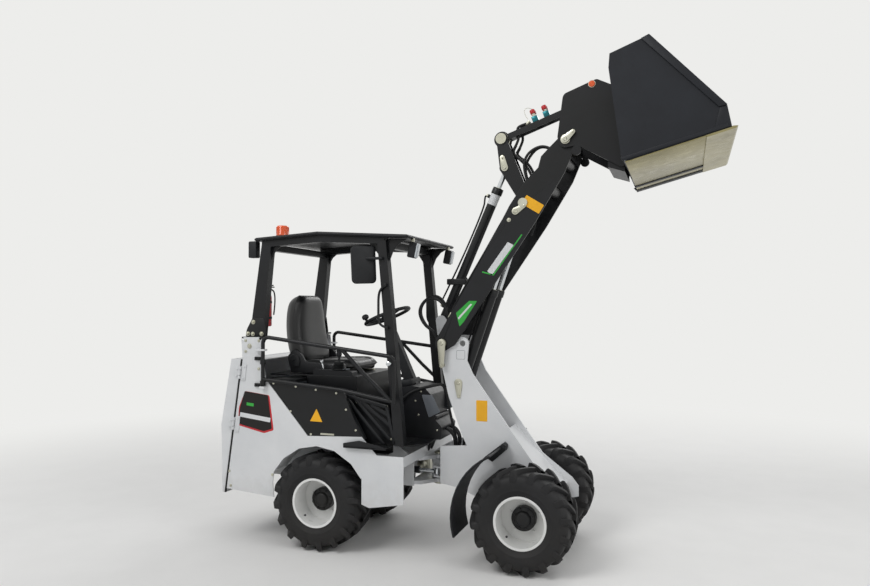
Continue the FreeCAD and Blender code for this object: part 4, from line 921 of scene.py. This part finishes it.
def boom_outline(points):
    return [on_boom(along, above) for along, above in points]


for side, hand in SIDES.items():
    face = 190 * hand
    label("boom_yellow_" + side, "boom", label_yellow, boom_outline([(1052, -100), (1115, -100), (1115, 33), (1052, 33)]),
          face, hand, "amber_lens")
    label("boom_green_" + side, "boom", label_green, boom_outline([
        (160, -40), (200, -48), (366, -52), (337, -5), (240, 22), (222, 28)]), face, hand, "white_paint", 4)
    label("boom_band_" + side, "boom", label_white, boom_outline([(196, -12), (330, -36), (326, -24), (200, 0)]), face,
          hand, "white_paint", 2, 1.2)
    label("boom_plate_" + side, "boom", label_white, boom_outline([(560, -46), (800, -66), (797, -22), (566, -6)]), face,
          hand, "white_paint", 3)
    label("boom_line_" + side, "boom", label_green, boom_outline([(540, 20), (565, -58), (885, -80), (885, -72), (571, -50), (549, 20)]),
          face, hand, "white_paint", 1)
    joints = Shape()
    x, z = on_boom(990, 40)
    keeper(joints, x, z, *on_boom(1050, 10), 190.5 * hand, hand, 23, 13)
    x, z = 540, 2158
    joints.bolt((x, 190 * hand, z), (0, hand, 0), 14)
    joints.piece("boom_keepers_" + side, "boom", zinc, "zinc_plate")

hose_clamps = Shape()
for along in (180, 420, 660, 900, 1130):
    x, z = on_boom(along, 64 if along < 1000 else 60)
    for low, high in ((-153, -121), (128, 148)):
        hose_clamps.block((x - 20, low, z - 9), (x + 20, high, z + 9), 3, Matrix.Rotation(-BOOM_ANGLE, 3, "Y"))
hose_clamps.piece("boom_hose_clamps", "boom", zinc, "zinc_plate")


def along_boom(points, y):
    return [(x, y, z) for x, z in (on_boom(a, b) for a, b in points)]


for i, y in enumerate((-143, -128, 138)):
    hose("boom_line_hose_%d" % i, "boom", along_boom([
        (60, 20 + i * 6), (130, 58), (240, 76), (480, 84), (700, 88), (900, 96), (1080, 92), (1180, 70), (1260, 60 - i * 16)], y), 7)
for hand in (-1, 1):
    hose("lift_feed_%d" % (hand + 1), "boom", along_boom([
        (1180, 40), (1100, 20), (1040, -10), (1010, -30), (960, -50), (900, -60)], 130 * hand), 7.5)

# The big hose loop that leaves the boom's foot and comes back to the cross valve
for i, (y, reach) in enumerate(((-112, 0), (-92, 16))):
    piece = hose("foot_loop_%d" % i, None, [
        (52, y, 1250 - i * 30), (40, y, 1340), (5, y, 1422), (-60 - reach, y, 1470), (-104 - reach, y, 1560),
        (-70 - reach * 0.6, y, 1640), (5, y, 1662 + reach), (64, y, 1622 + reach), (100, y, 1560), (112, y, 1500),
        (124, y, 1440)], 10)
    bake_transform(piece)
for i, y in enumerate((-60, -30, 40, 70)):
    piece = hose("belly_hose_%d" % i, None, [
        (126 - i * 6, y, 600), (140, y, 660), (120, y, 740), (60, y, 780), (10, y * 0.7, 760), (-40, y * 0.6, 690),
        (-70, y * 0.6, 610), (-110, y * 0.9, 560), (-190, y * 1.4, 520), (-330, y * 1.5, 500)], 9)
    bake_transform(piece)
dash_hose = hose("dash_hose", None, [
    (-226, -160, 948), (-190, -160, 990), (-120, -158, 1032), (-40, -150, 1056), (30, -136, 1072), (64, -128, 1078),
    (84, -126, 1052), (96, -130, 1000)], 10)
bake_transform(dash_hose)
for i, y in enumerate((-136, 136)):
    hose("riser_%d" % i, "front", [
        (150, y * 0.5, 596), (160, y * 0.7, 700), (130, y, 860), (96, y, 1020), (78, y, 1150), (66, y * 0.9, 1250)], 9)

# Tilt linkage: keepers, couplings on the link and the hoses that reach them
for side, hand in SIDES.items():
    keepers = Shape()
    keeper(keepers, 481, 2523, 466, 2590, 58 * hand, hand, 24, 17)
    keepers.piece("tilt_pin_keeper_" + side, "lever", zinc, "zinc_plate")
    ends = Shape()
    keeper(ends, 950, 2895, 1004, 2872, (55 + 0) * hand, hand, 22, 13)
    keeper(ends, 908, 2648, 958, 2690, 219 * hand, hand, 24, 14)
    ends.lathe((1073, 207 * hand, 2981), (0, hand, 0), [(0, -2), (23, -2), (23, 3), (0, 3)])
    ends.piece("coupler_keepers_" + side, "bucket", zinc, "zinc_plate")
    reflector = Shape()
    reflector.lathe((1073, 210 * hand, 2981), (0, hand, 0), [(0, -1), (20, -1), (20, 3), (17, 6), (0, 8)])
    reflector.piece("side_reflector_" + side, "bucket", amber_lens, "amber_lens")

link_slope = math.atan2(2895 - 2719, 950 - 457)
lx, lz = math.cos(link_slope), math.sin(link_slope)


def on_link(along, above):
    return 457 + along * lx - above * lz, 2719 + along * lz + above * lx


manifold = Shape()
for along in (250, 330):
    x, z = on_link(along, 42)
    manifold.block((x - 20, -30, z - 20), (x + 20, 30, z + 20), 4, Matrix.Rotation(-link_slope, 3, "Y"))
manifold.piece("coupling_block", "link", teal_metal, "grey_paint")
fittings = Shape()
caps = Shape()
for along, y, height in ((250, -14, 36), (330, -14, 26), (250, 14, 36), (330, 14, 26)):
    base = Vector((on_link(along, 60)[0], y, on_link(along, 60)[1]))
    up = Vector((-lz, 0, lx))
    fittings.lathe(base, up, [(0, 0), (13, 0), (13, 6), (11, 8), (11, height), (0, height)], 24)
    caps.lathe(base + up * height * 0.6, up, [(0, 0), (16.5, 0), (18, 4), (18, 22), (15, 27), (0, 28)], 24)
fittings.piece("coupling_bodies", "link", zinc, "zinc_plate")
caps.piece("coupling_caps", "link", red_plastic, "red_paint")
ends = Shape()
for y in (-16, 16):
    x, z = on_link(212, 44)
    ends.rod((x, y, z), (*[x - 34 * lx + 6], y, z - 34 * lz - 12), 10, 8)
ends.piece("coupling_tails", "link", zinc, "zinc_plate")
hose("cap_lanyard", "link", [
    (on_link(256, 110)[0], -14, on_link(256, 110)[1]), (on_link(230, 140)[0], -18, on_link(230, 140)[1]),
    (on_link(190, 120)[0], -20, on_link(190, 120)[1]), (on_link(205, 60)[0], -16, on_link(205, 60)[1])], 1.6, zinc)
# Both pairs share an arc about the link's rear pin, so that they stay together while the link turns
def about_link_pin(degrees, radius):
    angle = math.radians(degrees)
    return 457 + radius * math.cos(angle), 2719 + radius * math.sin(angle)


for i, y in enumerate((-18, 18)):
    reach = 104 + i * 22
    hose("coupling_hose_%d" % i, "link", [(x, y, z) for x, z in (
        on_link(186, 36), on_link(150, 40), on_link(116 + i * 22, 34), about_link_pin(2, reach + 8),
        about_link_pin(-12, reach), about_link_pin(-28, reach - 2), about_link_pin(-46, reach))], 9)
    hose("lever_hose_%d" % i, "lever", [(x, y, z) for x, z in (
        about_link_pin(-26, reach), about_link_pin(-44, reach), (536 + i * 20, 2610), (600 + i * 22, 2560),
        (652 + i * 16, 2480), (668, 2400), (648, 2330))], 9)
for i, y in enumerate((-140, -120)):
    hose("head_hose_%d" % i, "boom", [
        (on_boom(1180, 70)[0], y, on_boom(1180, 70)[1]), (on_boom(1240, 150)[0], y, on_boom(1240, 150)[1]),
        (on_boom(1330, 190 - i * 20)[0], y, on_boom(1330, 190 - i * 20)[1]), (on_boom(1420, 150)[0], y, on_boom(1420, 150)[1]),
        (on_boom(1450, 80)[0], y, on_boom(1450, 80)[1]), (on_boom(1440, 20)[0], y, on_boom(1440, 20)[1])], 9)

# Cylinders: gland nuts, ports and feed pipes
TILT_FOOT, TILT_EYE = (29, 1500), (481, 2523)
LIFT_FOOT, LIFT_EYE = (193, 1094), on_boom(990, 40)
for label_of, body, foot, eye, length, radius, rows in (
        ("tilt", "tilt_barrel", TILT_FOOT, TILT_EYE, 980, 32, (0,)),
        ("lift", "lift_barrels", LIFT_FOOT, LIFT_EYE, 655, 35, (-80, 80))):
    run = math.hypot(eye[0] - foot[0], eye[1] - foot[1])
    ux, uz = (eye[0] - foot[0]) / run, (eye[1] - foot[1]) / run
    way = Vector((ux, 0, uz))
    side_way = Vector((-uz, 0, ux))
    trim = Shape()
    bright = Shape()
    for y in rows:
        start = Vector((foot[0], y, foot[1]))
        trim.lathe(start + way * (length - 44), way, [
            (radius, 0), (radius + 5, 0), (radius + 5, 34), (radius + 3, 38), (radius + 3, 44), (radius - 12, 45)], 36)
        for along in (96, length - 72):
            port = start + way * along + side_way * (radius - 4)
            trim.rod(port, port + side_way * 20, 13, edge=1.5)
            bright.bolt(port + side_way * 18, side_way, 20, washer=False)
        bright.lathe(start + way * (length - 2), way, [(17, 0), (24, 0), (24, 5), (17, 5)], 28)
    trim.piece(label_of + "_cylinder_trim", body, black_paint, "black_paint")
    bright.piece(label_of + "_cylinder_ports", body, zinc, "zinc_plate")
    for n, y in enumerate(rows):
        start = Vector((foot[0], y, foot[1]))
        points = [start + way * a + side_way * (radius + b) for a, b in (
            (96, 20), (110, 34), (150, 30), (length * 0.5, 12), (length - 150, 12), (length - 100, 30), (length - 76, 34),
            (length - 72, 20))]
        hose("%s_feed_pipe_%d" % (label_of, n), body, [tuple(p) for p in points], 6, black_paint)
scale = Shape()
way = Vector((TILT_EYE[0] - TILT_FOOT[0], 0, TILT_EYE[1] - TILT_FOOT[1])).normalized()
scale.lathe(Vector((29, 0, 1500)) + way * 860, way, [(32.2, 0), (32.9, 0), (32.9, 74), (32.2, 74)], 36)
scale.piece("tilt_cylinder_label", "tilt_barrel", label_white, "white_paint")
clamp = Shape()
clamp.block((70, -48, 1748), (204, 48, 1788), 6)
for y in (-30, 30):
    clamp.bolt((186, y, 1788), (0, 0, 1), 16)
clamp.piece("tilt_cylinder_clamp", "tilt_barrel", black_paint, "black_paint")

# Bucket: edge bands, wear strips with dark bars of painted shade between them, bolts along the edge


def bucket_outline(points):
    return [on_bucket(x, z) for x, z in points]


for side, hand in SIDES.items():
    bands = Shape()
    bands.sheet(bucket_outline([(628, 325), (907, -199), (862, -197), (580, 318)]), 548 * hand, 560 * hand, edge=3)
    bands.sheet(bucket_outline([(905, -202), (897, -319), (800, -319), (866, -202)]), 549 * hand, 554 * hand, edge=2)
    bands.sheet(bucket_outline([(304, -317), (880, -317), (880, -296), (296, -296)]), 548 * hand, 556 * hand, edge=2)
    bands.piece("bucket_bands_" + side, "bucket", bucket_paint, "black_paint")
    heel = Shape()
    heel.sheet(bucket_outline(corner_disc(344, -282.5, 40, 172, 275)), 541 * hand, 550.4 * hand)
    heel.piece("bucket_heel_" + side, "bucket", bucket_paint, "black_paint")
strips = Shape()
strips.sheet(bucket_outline([(316, -329), (900, -329), (900, -322), (316, -322)]), -546, 300, edge=1)
strips.sheet(bucket_outline([(316, -329), (900, -329), (900, -322), (316, -322)]), 360, 470, edge=1)
strips.piece("bucket_wear_plates", "bucket", steel_with_painted_reflection, "bare_steel")
# Dark painted bars across the bright floor plate, standing for the shadow and the far side plate's reflection that
# fall on it: painted shade and painted reflection, not skids.
painted_shade_bars = Shape()
painted_shade_bars.sheet(bucket_outline([(310, -333), (896, -333), (896, -322), (310, -322)]), 302, 358, edge=2)
painted_shade_bars.sheet(bucket_outline([(310, -333), (896, -333), (896, -322), (310, -322)]), 472, 548, edge=2)
painted_shade_bars.piece("bucket_painted_shade_bars", "bucket", bucket_paint, "black_paint")
edge_bolts = Shape()
for column in range(7):
    y = -480 + column * 160
    x, z = on_bucket(858, -317)
    edge_bolts.lathe((x, y, z), (-math.sin(BUCKET_ROLL), 0, math.cos(BUCKET_ROLL)), [(0, -2), (11, -2), (11, 3), (8, 6), (0, 6)], 20)
edge_bolts.piece("edge_bolts", "bucket", zinc, "zinc_plate")
ribs = Shape()
for y in (-300, 0, 300):
    ribs.sheet(bucket_outline([(372, 240), (398, 297), (622, 319), (622, 332), (384, 318)]), y - 5, y + 5, edge=1)
ribs.piece("bucket_top_ribs", "bucket", bucket_paint, "black_paint")

# Light, floor and camera


def lamp(name, place, aim, size, power):
    light = bpy.data.lights.new(name, "AREA")
    light.shape = "DISK"
    light.size = size
    light.energy = power
    obj = bpy.data.objects.new(name, light)
    obj.location = place
    obj.rotation_euler = (Vector(aim) - Vector(place)).to_track_quat("-Z", "Y").to_euler()
    bpy.context.scene.collection.objects.link(obj)


lamp("key_light", (-4.0, -7.0, 8.5), (0, 0, 1.0), 5.0, 430)
lamp("fill_light", (7.5, -3.0, 5.0), (0, 0, 1.4), 6.0, 190)
lamp("rim_light", (1.0, 8.0, 6.5), (0, 0, 1.2), 5.0, 220)

BACKDROP = "EDEDEB"
world = bpy.data.worlds.new("studio")
world.use_nodes = True
bpy.context.scene.world = world
sky = world.node_tree.nodes["Background"]
sky.inputs["Strength"].default_value = 0.5
sky.inputs["Color"].default_value = linear("F2F4F6")
bright = add(world, "ShaderNodeBackground", {"Color": linear(BACKDROP)})
rays = add(world, "ShaderNodeLightPath")
clear = add(world, "ShaderNodeMath", {"operation": "MAXIMUM"},
            {0: (rays, "Is Glossy Ray"), 1: (rays, "Is Transmission Ray")})
seen = add(world, "ShaderNodeMath", {"operation": "MAXIMUM"}, {0: (rays, "Is Camera Ray"), 1: (clear, 0)})
swap = add(world, "ShaderNodeMixShader", links={"Fac": (seen, 0), 1: (sky, 0), 2: (bright, 0)})
world.node_tree.links.new(swap.outputs["Shader"], world.node_tree.nodes["World Output"].inputs["Surface"])

# The floor keeps the shadow near the machine and turns into the backdrop some metres away from it.
ground = bmesh.new()
bmesh.ops.create_grid(ground, x_segments=1, y_segments=1, size=60)
floor_mesh = bpy.data.meshes.new("floor")
ground.to_mesh(floor_mesh)
ground.free()
floor = bpy.data.objects.new("floor", floor_mesh)
bpy.context.scene.collection.objects.link(floor)
floor_paint = finish("pale_studio_floor", "E9E8E6", "E6E5E3", 0.8, 6.0, 0.02)
place = add(floor_paint, "ShaderNodeTexCoord")
away = add(floor_paint, "ShaderNodeVectorMath", {"operation": "LENGTH"}, {0: (place, "Object")})
far = add(floor_paint, "ShaderNodeMapRange", {"From Min": 2.6, "From Max": 7.5, "interpolation_type": "SMOOTHSTEP"},
          {"Value": (away, "Value")})
floor_rays = add(floor_paint, "ShaderNodeLightPath")
clear = add(floor_paint, "ShaderNodeMath", {"operation": "MAXIMUM"},
            {0: (floor_rays, "Is Glossy Ray"), 1: (floor_rays, "Is Transmission Ray")})
seen = add(floor_paint, "ShaderNodeMath", {"operation": "MAXIMUM"},
           {0: (floor_rays, "Is Camera Ray"), 1: (clear, 0)})
share = add(floor_paint, "ShaderNodeMath", {"operation": "MULTIPLY"}, {0: (far, "Result"), 1: (seen, 0)})
glow = add(floor_paint, "ShaderNodeEmission", {"Color": linear(BACKDROP)})
both = add(floor_paint, "ShaderNodeMixShader",
           links={"Fac": (share, 0), 1: (floor_paint.node_tree.nodes["Principled BSDF"], 0), 2: (glow, 0)})
floor_paint.node_tree.links.new(both.outputs["Shader"],
                                floor_paint.node_tree.nodes["Material Output"].inputs["Surface"])
floor_mesh.materials.append(floor_paint)

camera_data = bpy.data.cameras.new("photo_camera")
camera_data.sensor_width = 36
camera_data.lens = 29.83
camera = bpy.data.objects.new("photo_camera", camera_data)
bpy.context.scene.collection.objects.link(camera)
camera.location = at(1620, -4730, 1600)
yaw, pitch = math.radians(19.24), math.radians(1.06)
look = Vector((-math.sin(yaw) * math.cos(pitch), math.cos(yaw) * math.cos(pitch), math.sin(pitch)))
camera.rotation_euler = look.to_track_quat("-Z", "Y").to_euler()
bpy.context.scene.camera = camera
bpy.context.scene.view_settings.view_transform = "Standard"
